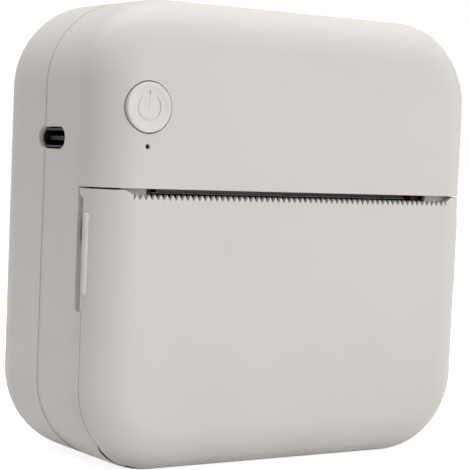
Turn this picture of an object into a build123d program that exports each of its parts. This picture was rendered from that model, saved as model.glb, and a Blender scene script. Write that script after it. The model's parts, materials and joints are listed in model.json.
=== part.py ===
from build123d import *
from math import acos, atan2, cos, degrees, hypot, pi, radians, sin, sqrt, tan
import os

# Portable thermal printer, a rounded upright box that stands on its flat underside.
# Millimetres. X runs to the right, -Y is the front with the paper slot, +Z is up.
# The origin is the middle of the underside.

# Outer form
WIDTH = 84.0
HEIGHT = 83.0
DEPTH = 41.0
CORNER_R = 15.7
FRONT_EDGE_R = 8.0
BACK_EDGE_R = 10.5
WALL = 2.0
FRONT_DEPTH = 18.1        # front face to the parting line of the two shells
BAND_WIDTH = 1.8          # shallow band round the rear shell at the parting line
BAND_DEPTH = 0.5

# Clearances
FIT_GAP = 0.05            # radial, turning shafts and pins
PRESS_GAP = 0.01          # radial, pieces that are pressed or screwed together
SEAM_GAP = 0.2            # door to shells
MOVE_GAP = 0.3            # any other moving piece to its neighbours
HEAD_GAP = 0.2            # radial, screw heads to the wells that they sit in
OVER = 1.0                # how far a cutting shape stands out of the piece it cuts

# Paper door
DOOR_DEPTH = 5.1          # front face to the door's rear edge
DOOR_TOP_Z = 49.7
SLOT_W = 74.0
SLOT_DROP = 0.7           # door top down to the tips of the tear teeth
CURTAIN_T = 0.8           # short walls behind the ends of the slot
TOOTH_H = 1.0
TOOTH_PITCH = 1.2
TOOTH_T = 0.9
HINGE_PIN_R = 0.75
KNUCKLE_R = 1.5
TAIL_ANGLE = 15.0         # how far the door's lower lip reaches round under the hinge
GROOVE_W = 2.0
GROOVE_DEPTH = 1.4
GROOVE_BOTTOM_Z = 28.4
EAR_LENGTH = 1.1
EAR_H = 1.6
SLIT_H = 3.4
SLIT_W = 0.6
SLIT_Z = 42.4
GRIP_RIB_R = 0.8
GRIP_RIB_Z = (31.5, 45.0)
GRIP_RIB_Y = 3.4          # front face to the middle of the grip rib

# Paper
PAPER_W = 57.0
PAPER_T = 0.12
PAPER_TIP = 5.0           # front face to the torn end
PAPER_GAP = 0.15          # paper to the pieces that it runs over
ROLL_R = 14.5
CORE_R = 6.5
CORE_WALL = 1.0

# Inner frame
SIDE_CLEAR = 0.8          # paper to the side plates
PLATE_T = 1.8
BIN_R = 16.0
BIN_WALL = 1.2
BIN_Y = -1.8
BIN_FRONT_Y = -9.6
GUIDE_DROP = 2.5          # print head down to the top of the paper guide
FOOT_H = 0.3
DECK_T = 1.2
FRAME_FRONT = 4.1         # front face to the front edge of the side plates
FRAME_BACK = 3.1          # rear face to the rear edge of the side plates
BRIDGE_Z = 58.0
BRIDGE_T = 1.4
BRIDGE_DEPTH = 6.6
LUG_X = 24.0
LUG_H = 6.0
LUG_W = 6.0
LUG_T = 1.6
LUG_BITE = 2.0            # how far the frame's screws reach into the front shell

# Platen and print head
PLATEN_R = 4.0
PLATEN_SHAFT_R = 1.5
PLATEN_BACK = 7.3         # front face to the platen's axis
BUSH_R = 2.5
ARM_R = 3.4
ARM_T = 1.8
HEAD_DEPTH = 10.0
CERAMIC_T = 0.8
SINK_T = 2.0
SINK_DEPTH = 16.5
SINK_FRONT = 3.8          # heat sink's front edge to the platen's axis
HEAD_PIN_R = 0.75
HEAD_EAR_R = 1.7
HEAD_EAR_W = 4.0
SPRING_X = 14.0
SPRING_BACK = 1.2         # behind the platen's axis
SPRING_R = 1.9
SPRING_WIRE = 0.45

# Drive train
MODULE = 0.4
PRESSURE_ANGLE = 20.0
ADDENDUM = 0.9            # in modules
DEDENDUM = 1.2
FLANK_STEPS = 4
PINION_TEETH = 10
FIRST_LARGE = 32
FIRST_SMALL = 12
SECOND_LARGE = 30
SECOND_SMALL = 12
PLATEN_TEETH = 20
BACKLASH = 0.10
AXLE_R = 0.75
SECOND_ANGLE = -20.0      # second gear seen from the platen's axis
MOTOR_R = 7.0
MOTOR_L = 10.2
MOTOR_Y = 9.2
MOTOR_Z = 43.5
MOTOR_SHAFT_R = 0.75
MOTOR_FLANGE_T = 0.8
MOTOR_EAR_R = 1.8
MOTOR_EAR_REACH = 8.8
GEAR_W = 1.6
PLATEN_GEAR_W = 2.2
COVER_T = 1.0
COVER_ARM_W = 4.0
COVER_END_R = 2.4
COVER_MIDDLE_R = 4.0
COVER_TIP_R = 2.6
COVER_POSTS = ((9.5, 52.5), (6.0, 31.5))
POST_R = 1.6
POST_BITE = 3.5           # how far the cover's screws reach into the posts

# Electronics
USB_W = 8.94
USB_H = 3.26
USB_L = 7.3
USB_WALL = 0.3
USB_Y = -3.3
USB_INSET = 0.7
USB_RIM = 0.3
TONGUE_INSET = 0.8
TONGUE_W = 6.6
TONGUE_T = 0.7
BOARD_T = 1.2
BOARD_Z = 55.3            # underside of the main board
BOARD_DEPTH = 18.4
BOARD_BACK_Y = 10.2
BOARD_RIGHT_X = 30.0
BOARD_LEFT_GAP = 0.6
KEY_X = -32.5
KEY_Z = 63.9
KEY_BOARD_T = 1.2
KEY_BOARD_W = 11.0
KEY_BOARD_TOP = 8.7       # above the button's axis
KEY_BOARD_LOW = 4.1       # below the button's axis
KEY_POST_R = 1.5
KEY_POST_X = 3.6
KEY_POST_Z = 6.9
KEY_BITE = 3.0            # how far the key board's screws reach into the posts
SWITCH_SIDE = 4.5
SWITCH_T = 2.5
PLUNGER_R = 1.0
PLUNGER_L = 1.0
PLUNGER_SEAT = 0.6        # how far the plunger reaches into the switch
PLUNGER_ROOM = 1.2
LED_Z = 57.2
LED_SIZE = 1.4
PIPE_TIP_R = 0.45
PIPE_R = 1.0
PIPE_RECESS = 0.6

# Power button
BUTTON_R = 4.55
BUTTON_GAP = 0.2
BUTTON_T = 2.2
BUTTON_FLANGE_R = 5.3
BUTTON_FLANGE_T = 0.7
BUTTON_STEM_R = 1.4
BUTTON_STEM_L = 1.5
BUTTON_EDGE_R = 0.35
BUTTON_DISH_R = 3.6
BUTTON_DISH_DEPTH = 0.25
SYMBOL_R = 1.9
SYMBOL_LINE = 0.36
SYMBOL_DEPTH = 0.2
SYMBOL_GAP_ANGLE = 35.0

# Battery
BATTERY_W = 47.5
BATTERY_H = 34.0
BATTERY_T = 7.0
BATTERY_X = -5.2
BATTERY_Z = 53.5
BATTERY_EDGE_R = 1.5
TAPE_T = 0.5
LEAD_R = 0.6
LEAD_SPACING = 2.0
LEAD_RISE = 4.0           # wires above the plug
PLUG_W = 6.0
PLUG_DEPTH = 4.0
PLUG_X = -16.0
PLUG_Y = 5.0
PLUG_H = 3.0

# Chips on the main board: x, y, width, depth, height
CHIPS = (
    (-6.0, 1.0, 7.0, 7.0, 0.9),
    (8.0, -2.0, 5.0, 6.0, 1.2),
    (14.0, 5.0, 4.0, 4.0, 1.0),
    (-20.0, -3.5, 4.0, 3.0, 1.1),
)

# Paper sensor
SENSOR_W = 5.0
SENSOR_T = 1.2
SENSOR_H = 3.4
SENSOR_RISE = 15.0        # along the paper's run, above the middle of the bin

# Fasteners
SCREW_R = 1.0
SCREW_HEAD_R = 1.8
SCREW_HEAD_T = 1.3
SMALL_SCREW_R = 0.8
SMALL_HEAD_R = 1.4
SMALL_HEAD_T = 0.8
SOCKET_R = 0.6            # driver socket in the case screws
BOSS_R = 2.6
CASE_SCREW_L = 10.0
LOW_BOSS = (35.5, 12.0)
HIGH_BOSS = (22.0, 77.5)
LOW_BOSS_FRONT = -9.5     # y of its front end
SCREW_SEAT_Y = 2.0
BOARD_SCREWS = ((-24.0, 6.5), (24.0, 6.5), (24.0, -5.5))

# Places that follow from the sizes
FRONT_Y = -DEPTH / 2
BACK_Y = DEPTH / 2
INNER_FRONT_Y = FRONT_Y + WALL
INNER_BACK_Y = BACK_Y - WALL
SEAM_Y = FRONT_Y + FRONT_DEPTH
DOOR_Y = FRONT_Y + DOOR_DEPTH
HINGE_Y = DOOR_Y
HINGE_Z = DOOR_DEPTH
SHELL_EDGE_Z = DOOR_TOP_Z + SEAM_GAP
PLATE_X = PAPER_W / 2 + SIDE_CLEAR
PLATE_OUT_X = PLATE_X + PLATE_T
FRAME_Y = FRONT_Y + FRAME_FRONT
FRAME_BACK_Y = BACK_Y - FRAME_BACK
LUG_Z = BRIDGE_Z + LUG_H - LUG_W / 4
BIN_Z = WALL + FOOT_H + BIN_WALL + BIN_R
ROLL_Y = BIN_Y
ROLL_Z = BIN_Z - BIN_R + MOVE_GAP + ROLL_R
PLATEN_Y = FRONT_Y + PLATEN_BACK
PLATEN_Z = DOOR_TOP_Z - SLOT_DROP - PLATEN_R
PAPER_Z = PLATEN_Z + PLATEN_R + PAPER_GAP
HEAD_Z = PAPER_Z + PAPER_T + PAPER_GAP
SINK_Z = HEAD_Z + CERAMIC_T
SINK_FRONT_Y = PLATEN_Y - SINK_FRONT
HEAD_PIN_Y = SINK_FRONT_Y + SINK_DEPTH
HEAD_PIN_Z = SINK_Z + SINK_T / 2
SPRING_Y = PLATEN_Y + SPRING_BACK
ARM_X = PLATE_OUT_X + MOVE_GAP
ARM_OUT_X = ARM_X + ARM_T
LAYER_1 = PLATE_OUT_X + 2 * MOVE_GAP
LAYER_2 = ARM_OUT_X + MOVE_GAP
LAYER_3 = LAYER_2 + PLATEN_GEAR_W + MOVE_GAP
COVER_X = LAYER_3 + GEAR_W + MOVE_GAP
BOARD_TOP_Z = BOARD_Z + BOARD_T
USB_Z = BOARD_TOP_Z + USB_H / 2
BOARD_LEFT_X = -WIDTH / 2 + WALL + BOARD_LEFT_GAP
BOARD_FRONT_Y = BOARD_BACK_Y - BOARD_DEPTH
STEM_FRONT_Y = INNER_FRONT_Y + MOVE_GAP + BUTTON_FLANGE_T
PLUNGER_Y = STEM_FRONT_Y + BUTTON_STEM_L
SWITCH_Y = PLUNGER_Y + PLUNGER_L
KEY_BOARD_Y = SWITCH_Y + SWITCH_T
BATTERY_BACK_Y = INNER_BACK_Y - TAPE_T


# Small helpers
def box(x, y, z):
    """A block from three (low, high) pairs."""
    size = [high - low for low, high in (x, y, z)]
    middle = [(low + high) / 2 for low, high in (x, y, z)]
    return Pos(*middle) * Box(*size)


def both_sides(shape):
    return shape + mirror(shape, Plane.YZ)


def rod_x(r, x, y, z):
    """A cylinder along X between the two ends in x."""
    return Pos((x[0] + x[1]) / 2, y, z) * Rot(0, 90, 0) * Cylinder(r, x[1] - x[0])


def rod_y(r, y, x, z):
    return Pos(x, (y[0] + y[1]) / 2, z) * Rot(90, 0, 0) * Cylinder(r, y[1] - y[0])


def rod_z(r, z, x, y):
    return Pos(x, y, (z[0] + z[1]) / 2) * Cylinder(r, z[1] - z[0])


def beyond(span):
    """The two ends of a cutter that passes right through the given span."""
    return span[0] - OVER, span[1] + OVER


def side_profile(points, x):
    """A plate along X with the outline given as (y, z) points."""
    face = make_face(Polyline(*[(y, z) for y, z in points], close=True))
    return Pos(x[0], 0, 0) * extrude(Plane.YZ * face, x[1] - x[0])


def polar(y, z, r, angle):
    return y + r * cos(radians(angle)), z + r * sin(radians(angle))


def write(name, shape):
    os.makedirs("parts", exist_ok=True)
    export_step(shape, "parts/" + name + ".step")


# Outer form, and the same form inset by a wall
def rounded_case(inset):
    outline = RectangleRounded(WIDTH - 2 * inset, HEIGHT - 2 * inset, CORNER_R - inset)
    plane = Plane((0, BACK_Y - inset, HEIGHT / 2), x_dir=(1, 0, 0), z_dir=(0, -1, 0))
    block = extrude(plane * outline, DEPTH - 2 * inset)
    front = block.faces().sort_by(Axis.Y)[0].edges()
    block = fillet(front, FRONT_EDGE_R - inset)
    back = block.faces().sort_by(Axis.Y)[-1].edges()
    return fillet(back, BACK_EDGE_R - inset)


FAR = 2 * max(WIDTH, HEIGHT, DEPTH)
OUTER = rounded_case(0)
INNER = rounded_case(WALL)
SKIN = OUTER - INNER


def hinge_sweep(grow):
    """The round space that the door's lower edge turns through, grown by a clearance."""
    level = Plane((0, 0, HINGE_Z))
    ahead = level * Pos(0, HINGE_Y - FAR / 2) * Rectangle(2 * FAR, FAR)
    edge = section(rounded_case(-grow), section_by=level) & ahead
    return revolve(edge, Axis((0, HINGE_Y, HINGE_Z), (1, 0, 0)), 360)


def tail_zone():
    """The space behind the hinge line in which the door's lower lip lies."""
    behind = box((-FAR, FAR), (HINGE_Y - MOVE_GAP, FAR), (-FAR, HINGE_Z))
    wedge = Pos(0, -FAR / 2, -FAR / 2) * Box(2 * FAR, FAR, FAR)
    return hinge_sweep(0) & behind & Pos(0, HINGE_Y, HINGE_Z) * Rot(TAIL_ANGLE, 0, 0) * wedge


def ear_block(grow):
    """The tab at the top of the door's side edge, over the finger groove."""
    back = DOOR_Y + EAR_LENGTH + grow
    low = DOOR_TOP_Z - EAR_H - grow
    front = DOOR_Y - EAR_LENGTH
    top = DOOR_TOP_Z + grow
    points = [(front, low - EAR_LENGTH), (back, low), (back, top), (front, top)]
    return both_sides(side_profile(points, (WIDTH / 2 - WALL, WIDTH / 2 + WALL)))


# Door and the pieces that it carries
def tear_teeth():
    count = int((SLOT_W - TOOTH_PITCH) / TOOTH_PITCH)
    tip = DOOR_TOP_Z - SLOT_DROP
    start = -count * TOOTH_PITCH / 2
    points = [(start, tip - TOOTH_H)]
    for i in range(count):
        points.append((start + (i + 0.5) * TOOTH_PITCH, tip))
        points.append((start + (i + 1) * TOOTH_PITCH, tip - TOOTH_H))
    points += [(-start, tip - 2 * TOOTH_H), (start, tip - 2 * TOOTH_H)]
    plane = Plane((0, FRONT_Y + TOOTH_T, 0), x_dir=(1, 0, 0), z_dir=(0, -1, 0))
    return extrude(plane * make_face(Polyline(*points, close=True)), TOOTH_T)


def door_lug():
    """The knuckle beside each side plate, carried by a gusset from the door's wall."""
    x = (ARM_X, ARM_OUT_X)
    gusset = box(x, (INNER_FRONT_Y - WALL / 2, HINGE_Y), (WALL, HINGE_Z + KNUCKLE_R))
    web = gusset & rounded_case(WALL / 2)
    return web + rod_x(KNUCKLE_R, x, HINGE_Y, HINGE_Z)


def door_arm():
    """The arm that carries one end of the platen."""
    x = (ARM_X, ARM_OUT_X)
    bar = box(x, (INNER_FRONT_Y - WALL / 2, PLATEN_Y), (PLATEN_Z - ARM_R, PLATEN_Z + ARM_R))
    return bar + rod_x(ARM_R, x, PLATEN_Y, PLATEN_Z)


def paper_door():
    below = box((-FAR, FAR), (-FAR, DOOR_Y), (-FAR, DOOR_TOP_Z))
    lid = (SKIN & below) + (SKIN & tail_zone())
    relief = (PLATE_X - MOVE_GAP, PLATE_OUT_X + MOVE_GAP)
    lid -= both_sides(box(relief, (HINGE_Y, FAR), (-FAR, HINGE_Z)))
    lid -= both_sides(rod_x(KNUCKLE_R + MOVE_GAP, relief, HINGE_Y, HINGE_Z))
    lid += SKIN & ear_block(0)
    slot = box((-SLOT_W / 2, SLOT_W / 2), (-FAR, DOOR_Y), (DOOR_TOP_Z - SLOT_DROP - TOOTH_H, FAR))
    lid -= slot
    lid += tear_teeth()
    lid += both_sides(door_lug() + door_arm())
    lid -= both_sides(rod_x(HINGE_PIN_R + FIT_GAP, beyond((ARM_X, ARM_OUT_X)), HINGE_Y, HINGE_Z))
    lid -= both_sides(rod_x(BUSH_R + PRESS_GAP, beyond((ARM_X, ARM_OUT_X)), PLATEN_Y, PLATEN_Z))
    return lid + both_sides(grip_rib())


def grip_rib():
    """A raised bar on the rounded side of the door, to pull it by."""
    y = FRONT_Y + GRIP_RIB_Y
    drop = FRONT_EDGE_R - GRIP_RIB_Y
    x = WIDTH / 2 - FRONT_EDGE_R + sqrt(FRONT_EDGE_R**2 - drop**2) - GRIP_RIB_R / 2
    low, high = GRIP_RIB_Z
    bar = rod_z(GRIP_RIB_R, (low, high), x, y)
    return bar + Pos(x, y, low) * Sphere(GRIP_RIB_R) + Pos(x, y, high) * Sphere(GRIP_RIB_R)


def platen_bushings():
    """Flangeless bushes in the door's arms that seat in the notches of the side plates."""
    bush = rod_x(BUSH_R, (PLATE_X, ARM_OUT_X), PLATEN_Y, PLATEN_Z)
    bush -= rod_x(PLATEN_SHAFT_R + FIT_GAP, beyond((PLATE_X, ARM_OUT_X)), PLATEN_Y, PLATEN_Z)
    return [bush, mirror(bush, Plane.YZ)]


# Shells
def side_groove():
    """The finger groove behind the door's side edge."""
    x = (WIDTH / 2 - GROOVE_DEPTH, WIDTH / 2 + OVER)
    y = (DOOR_Y - SEAM_GAP, DOOR_Y + GROOVE_W)
    low = GROOVE_BOTTOM_Z + GROOVE_W / 2
    cut = box(x, y, (low, DOOR_TOP_Z + SEAM_GAP))
    cut += rod_x(GROOVE_W / 2, x, y[1] - GROOVE_W / 2, low)
    through = (WIDTH / 2 - 2 * WALL, WIDTH / 2)
    slit = box(through, (DOOR_Y, DOOR_Y + SLIT_W), (SLIT_Z - SLIT_H / 2, SLIT_Z + SLIT_H / 2))
    return both_sides(cut + slit)


def usb_opening():
    """The hole for the charging socket, shared by the two shells."""
    return usb_slot(USB_RIM, beyond((-WIDTH / 2, -WIDTH / 2 + WALL)))


def boss(place, y, r):
    x, z = place
    return both_sides(rod_y(r, y, x, z))


def boss_rib():
    """A web that joins a low boss to the side wall."""
    x, z = LOW_BOSS
    web = box((x, WIDTH / 2 - WALL / 2), (LOW_BOSS_FRONT, SEAM_Y), (z - WALL / 2, z + WALL / 2))
    return both_sides(web)


def slot_curtain():
    """Short walls behind the ends of the slot that hide the drive and the arms."""
    x = (PLATE_X, SLOT_W / 2 - SEAM_GAP)
    back = INNER_FRONT_Y + SEAM_GAP + CURTAIN_T
    top = SHELL_EDGE_Z + CURTAIN_T
    wall = box(x, (INNER_FRONT_Y + SEAM_GAP, back), (DOOR_TOP_Z - SLOT_DROP, top))
    root = box(x, (INNER_FRONT_Y - WALL / 4, back), (SHELL_EDGE_Z, top))
    return both_sides(wall + root)


def key_post_places():
    return [(KEY_X - KEY_POST_X, KEY_Z + KEY_POST_Z), (KEY_X + KEY_POST_X, KEY_Z + KEY_POST_Z)]


def front_shell():
    ahead = box((-FAR, FAR), (-FAR, SEAM_Y), (-FAR, FAR))
    low = box((-FAR, FAR), (-FAR, DOOR_Y + SEAM_GAP), (-FAR, SHELL_EDGE_Z))
    shell = SKIN & ahead
    shell -= low
    shell -= hinge_sweep(SEAM_GAP)
    shell -= ear_block(SEAM_GAP)
    shell -= side_groove()
    shell += boss(HIGH_BOSS, (INNER_FRONT_Y, SEAM_Y), BOSS_R)
    shell += boss(LOW_BOSS, (LOW_BOSS_FRONT, SEAM_Y), BOSS_R) + boss_rib()
    shell -= boss(HIGH_BOSS, (SEAM_Y - CASE_SCREW_L, SEAM_Y + OVER), SCREW_R + PRESS_GAP)
    shell -= boss(LOW_BOSS, beyond((LOW_BOSS_FRONT, SEAM_Y)), SCREW_R + PRESS_GAP)
    shell += slot_curtain()
    shell += boss((LUG_X, LUG_Z), (INNER_FRONT_Y, FRAME_Y), BOSS_R)
    shell -= boss((LUG_X, LUG_Z), (FRAME_Y - LUG_BITE, FRAME_Y + OVER), SMALL_SCREW_R + PRESS_GAP)
    key_hole = (KEY_BOARD_Y - KEY_BITE - MOVE_GAP, KEY_BOARD_Y + OVER)
    for x, z in key_post_places():
        shell += rod_y(KEY_POST_R, (INNER_FRONT_Y, KEY_BOARD_Y), x, z)
        shell -= rod_y(SMALL_SCREW_R + PRESS_GAP, key_hole, x, z)
    shell -= rod_y(BUTTON_R + BUTTON_GAP, beyond((FRONT_Y, INNER_FRONT_Y)), KEY_X, KEY_Z)
    shell -= rod_y(PIPE_TIP_R + PRESS_GAP, beyond((FRONT_Y, INNER_FRONT_Y)), KEY_X, LED_Z)
    return shell - usb_opening()


def rear_shell():
    behind = box((-FAR, FAR), (SEAM_Y, FAR), (-FAR, FAR))
    shell = SKIN & behind
    band = box((-FAR, FAR), (SEAM_Y - OVER, SEAM_Y + BAND_WIDTH), (-FAR, FAR))
    wide, high = WIDTH - 2 * BAND_DEPTH, HEIGHT - 2 * BAND_DEPTH
    plane = Plane((0, BACK_Y, HEIGHT / 2), x_dir=(1, 0, 0), z_dir=(0, -1, 0))
    shell -= band - extrude(plane * RectangleRounded(wide, high, CORNER_R - BAND_DEPTH), DEPTH)
    for place in (LOW_BOSS, HIGH_BOSS):
        shell += boss(place, (SEAM_Y, BACK_Y), BOSS_R) & OUTER & behind
        shell -= boss(place, (SEAM_Y - OVER, SCREW_SEAT_Y), SCREW_R + FIT_GAP)
        shell -= boss(place, (SCREW_SEAT_Y, BACK_Y + OVER), SCREW_HEAD_R + HEAD_GAP)
    return shell - usb_opening()


def case_screws():
    screws = []
    for place in (LOW_BOSS, HIGH_BOSS):
        for side in (-1, 1):
            x, z = side * place[0], place[1]
            screw = rod_y(SCREW_R, (SCREW_SEAT_Y - CASE_SCREW_L, SCREW_SEAT_Y), x, z)
            screw += rod_y(SCREW_HEAD_R, (SCREW_SEAT_Y, SCREW_SEAT_Y + SCREW_HEAD_T), x, z)
            socket = (SCREW_SEAT_Y + SCREW_HEAD_T / 2, SCREW_SEAT_Y + 2 * SCREW_HEAD_T)
            screws.append(screw - rod_y(SOCKET_R, socket, x, z))
    return screws


# Inner frame: side plates, paper bin, guide, deck and the bridge over the print head
def paper_lean():
    """The direction, in degrees, that the face of the paper's straight run looks towards."""
    dy, dz = PLATEN_Y - ROLL_Y, PLATEN_Z - ROLL_Z
    return degrees(atan2(dz, dy) - acos((ROLL_R - PLATEN_R) / hypot(dy, dz)))


def side_plate():
    x = (PLATE_X, PLATE_OUT_X)
    low = BIN_Z - BIN_R - BIN_WALL
    back_top = BATTERY_Z - BATTERY_H / 2 - MOVE_GAP - WALL
    outline = [
        (BIN_FRONT_Y, low), (BIN_Y + BIN_R - WALL, low), (FRAME_BACK_Y, low + BIN_R / 3),
        (FRAME_BACK_Y, back_top), (BOARD_BACK_Y + MOVE_GAP, BOARD_Z),
        (FRAME_Y + BRIDGE_DEPTH, BOARD_Z), (FRAME_Y + BRIDGE_DEPTH, BRIDGE_Z + BRIDGE_T),
        (FRAME_Y, BRIDGE_Z + BRIDGE_T), (FRAME_Y, HINGE_Z),
    ]
    plate = side_profile(outline, x)
    swept = hinge_sweep(2 * SEAM_GAP)
    plate -= swept & box((-FAR, FAR), (-FAR, FAR), (-FAR, HINGE_Z))
    plate += rod_x(KNUCKLE_R, x, HINGE_Y, HINGE_Z)
    ring = rod_x(MOTOR_R, x, MOTOR_Y, MOTOR_Z) + rod_x(MOTOR_EAR_R, x, *motor_ears()[1])
    return plate + ring


def motor_ears():
    """Centres of the motor's two ears, in line with the paper's run."""
    lean = paper_lean()
    return [polar(MOTOR_Y, MOTOR_Z, MOTOR_EAR_REACH, lean + turn) for turn in (90, -90)]


def bin_trough():
    x = (-PLATE_X, PLATE_X)
    ring = rod_x(BIN_R + BIN_WALL, x, BIN_Y, BIN_Z) - rod_x(BIN_R, beyond(x), BIN_Y, BIN_Z)
    end = polar(BIN_Y, BIN_Z, 3 * BIN_R, paper_lean())
    low = BIN_Z - 3 * BIN_R
    keep = [(BIN_FRONT_Y, low), (end[0], low), end, (BIN_Y, BIN_Z), (BIN_FRONT_Y, BIN_Z - OVER)]
    return ring & side_profile(keep, x)


def paper_guide():
    """The flat back of the paper's path, from the bin up to the print head."""
    x = (-PLATE_X, PLATE_X)
    lean = paper_lean()
    top = HEAD_Z - GUIDE_DROP
    points = []
    for r in (BIN_R, BIN_R + BIN_WALL):
        start = polar(BIN_Y, BIN_Z, r, lean)
        lift = top - start[1]
        points.append([start, (start[0] - lift * tan(radians(lean)), top)])
    (a, b), (c, d) = points
    return side_profile([a, b, d, c], x)


def chassis():
    x = (-PLATE_OUT_X, PLATE_OUT_X)
    body = both_sides(side_plate()) + bin_trough() + paper_guide()
    deck_back = min(BOARD_BACK_Y, BATTERY_BACK_Y - BATTERY_T - MOVE_GAP)
    body += box(x, (FRAME_Y + BRIDGE_DEPTH, deck_back), (BOARD_Z - DECK_T, BOARD_Z))
    body += box(x, (FRAME_Y, FRAME_Y + BRIDGE_DEPTH), (BRIDGE_Z, BRIDGE_Z + BRIDGE_T))
    lug_x = (LUG_X - LUG_W / 2, LUG_X + LUG_W / 2)
    body += both_sides(box(lug_x, (FRAME_Y, FRAME_Y + LUG_T), (BRIDGE_Z, BRIDGE_Z + LUG_H)))
    body &= rounded_case(WALL + SEAM_GAP)
    foot_y = (BIN_Y - LUG_W / 2, BIN_Y + LUG_W / 2)
    body += both_sides(box(lug_x, foot_y, (WALL, WALL + FOOT_H + BIN_WALL / 2)) & INNER)
    through = beyond((PLATE_X, PLATE_OUT_X))
    room = BUSH_R + MOVE_GAP
    notch = box(through, (-FAR, PLATEN_Y), (PLATEN_Z - room, PLATEN_Z + room))
    body -= both_sides(notch + rod_x(room, through, PLATEN_Y, PLATEN_Z))
    body -= both_sides(rod_x(HINGE_PIN_R + PRESS_GAP, through, HINGE_Y, HINGE_Z))
    body -= both_sides(rod_x(HEAD_PIN_R + PRESS_GAP, through, HEAD_PIN_Y, HEAD_PIN_Z))
    lug_hole = rod_y(SMALL_SCREW_R + FIT_GAP, beyond((FRAME_Y, FRAME_Y + LUG_T)), LUG_X, LUG_Z)
    body -= both_sides(lug_hole)
    for y, z in COVER_POSTS:
        body += rod_x(POST_R, (PLATE_OUT_X, COVER_X), y, z)
        body -= rod_x(SMALL_SCREW_R + PRESS_GAP, (COVER_X - POST_BITE - MOVE_GAP, COVER_X + OVER), y, z)
    for y, z in (FIRST_AXIS, SECOND_AXIS):
        body -= rod_x(AXLE_R + PRESS_GAP, through, y, z)
    body -= rod_x(MOTOR_SHAFT_R + MOVE_GAP, through, MOTOR_Y, MOTOR_Z)
    for y, z in motor_ears():
        body -= rod_x(SMALL_SCREW_R + FIT_GAP, through, y, z)
    for screw_x, screw_y in BOARD_SCREWS:
        body -= rod_z(SMALL_SCREW_R + PRESS_GAP, beyond((BOARD_Z - DECK_T, BOARD_Z)), screw_x, screw_y)
    return body


# Paper
def paper_roll():
    x = (-PAPER_W / 2, PAPER_W / 2)
    hole = rod_x(CORE_R + PRESS_GAP, beyond(x), ROLL_Y, ROLL_Z)
    return rod_x(ROLL_R, x, ROLL_Y, ROLL_Z) - hole


def paper_core():
    x = (-PAPER_W / 2, PAPER_W / 2)
    bore = rod_x(CORE_R - CORE_WALL, beyond(x), ROLL_Y, ROLL_Z)
    return rod_x(CORE_R, x, ROLL_Y, ROLL_Z) - bore


def paper_strip():
    """The web from the roll over the platen to a torn edge inside the slot."""
    lean = paper_lean()
    sides = []
    for gap in (PAPER_GAP, PAPER_GAP + PAPER_T):
        start = polar(ROLL_Y, ROLL_Z, ROLL_R + gap, lean)
        onto = polar(PLATEN_Y, PLATEN_Z, PLATEN_R + gap, lean)
        over = polar(PLATEN_Y, PLATEN_Z, PLATEN_R + gap, (lean + 90) / 2)
        top = polar(PLATEN_Y, PLATEN_Z, PLATEN_R + gap, 90)
        tip = (FRONT_Y + PAPER_TIP, top[1])
        sides.append((start, tip, Line(start, onto) + ThreePointArc(onto, over, top) + Line(top, tip)))
    (start, tip, near), (far_start, far_tip, far) = sides
    outline = near + Line(tip, far_tip) + far + Line(far_start, start)
    return Pos(-PAPER_W / 2, 0, 0) * extrude(Plane.YZ * make_face(outline), PAPER_W)


# Platen and print head
def platen_shaft():
    return rod_x(PLATEN_SHAFT_R, (-ARM_OUT_X - MOVE_GAP, LAYER_3 - MOVE_GAP), PLATEN_Y, PLATEN_Z)


def platen_roller():
    x = (-PAPER_W / 2, PAPER_W / 2)
    hole = rod_x(PLATEN_SHAFT_R + PRESS_GAP, beyond(x), PLATEN_Y, PLATEN_Z)
    return rod_x(PLATEN_R, x, PLATEN_Y, PLATEN_Z) - hole


def print_head():
    x = PAPER_W / 2 - SIDE_CLEAR
    front = PLATEN_Y - HEAD_DEPTH / 4
    return box((-x, x), (front, front + HEAD_DEPTH), (HEAD_Z, SINK_Z))


def heat_sink():
    x = PAPER_W / 2
    plate = box((-x, x), (SINK_FRONT_Y, HEAD_PIN_Y), (SINK_Z, SINK_Z + SINK_T))
    ear = rod_x(HEAD_EAR_R, (x - HEAD_EAR_W, x), HEAD_PIN_Y, HEAD_PIN_Z)
    plate += both_sides(ear)
    return plate - both_sides(rod_x(HEAD_PIN_R + FIT_GAP, (0, x + OVER), HEAD_PIN_Y, HEAD_PIN_Z))


def head_pins():
    pin = rod_x(HEAD_PIN_R, (PAPER_W / 2 - HEAD_EAR_W, PLATE_OUT_X), HEAD_PIN_Y, HEAD_PIN_Z)
    return [pin, mirror(pin, Plane.YZ)]


def head_springs():
    z = (SINK_Z + SINK_T, BRIDGE_Z)
    coil = rod_z(SPRING_R, z, SPRING_X, SPRING_Y)
    coil -= rod_z(SPRING_R - SPRING_WIRE, beyond(z), SPRING_X, SPRING_Y)
    return [coil, mirror(coil, Plane.YZ)]


def hinge_pins():
    pin = rod_x(HINGE_PIN_R, (PLATE_X, ARM_OUT_X), HINGE_Y, HINGE_Z)
    return [pin, mirror(pin, Plane.YZ)]


# Gears
def pitch_r(teeth):
    return MODULE * teeth / 2


def mesh_distance(one, other):
    return pitch_r(one) + pitch_r(other)


SECOND_AXIS = polar(PLATEN_Y, PLATEN_Z, mesh_distance(PLATEN_TEETH, SECOND_SMALL), SECOND_ANGLE)


def first_axis():
    """The first gear meshes with the motor's pinion and with the second gear."""
    to_motor = mesh_distance(PINION_TEETH, FIRST_LARGE)
    to_second = mesh_distance(FIRST_SMALL, SECOND_LARGE)
    dy, dz = MOTOR_Y - SECOND_AXIS[0], MOTOR_Z - SECOND_AXIS[1]
    span = hypot(dy, dz)
    turn = acos((to_second**2 + span**2 - to_motor**2) / (2 * to_second * span))
    return polar(*SECOND_AXIS, to_second, degrees(atan2(dz, dy) - turn))


FIRST_AXIS = first_axis()


def bearing(start, end):
    return degrees(atan2(end[1] - start[1], end[0] - start[0]))


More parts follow.
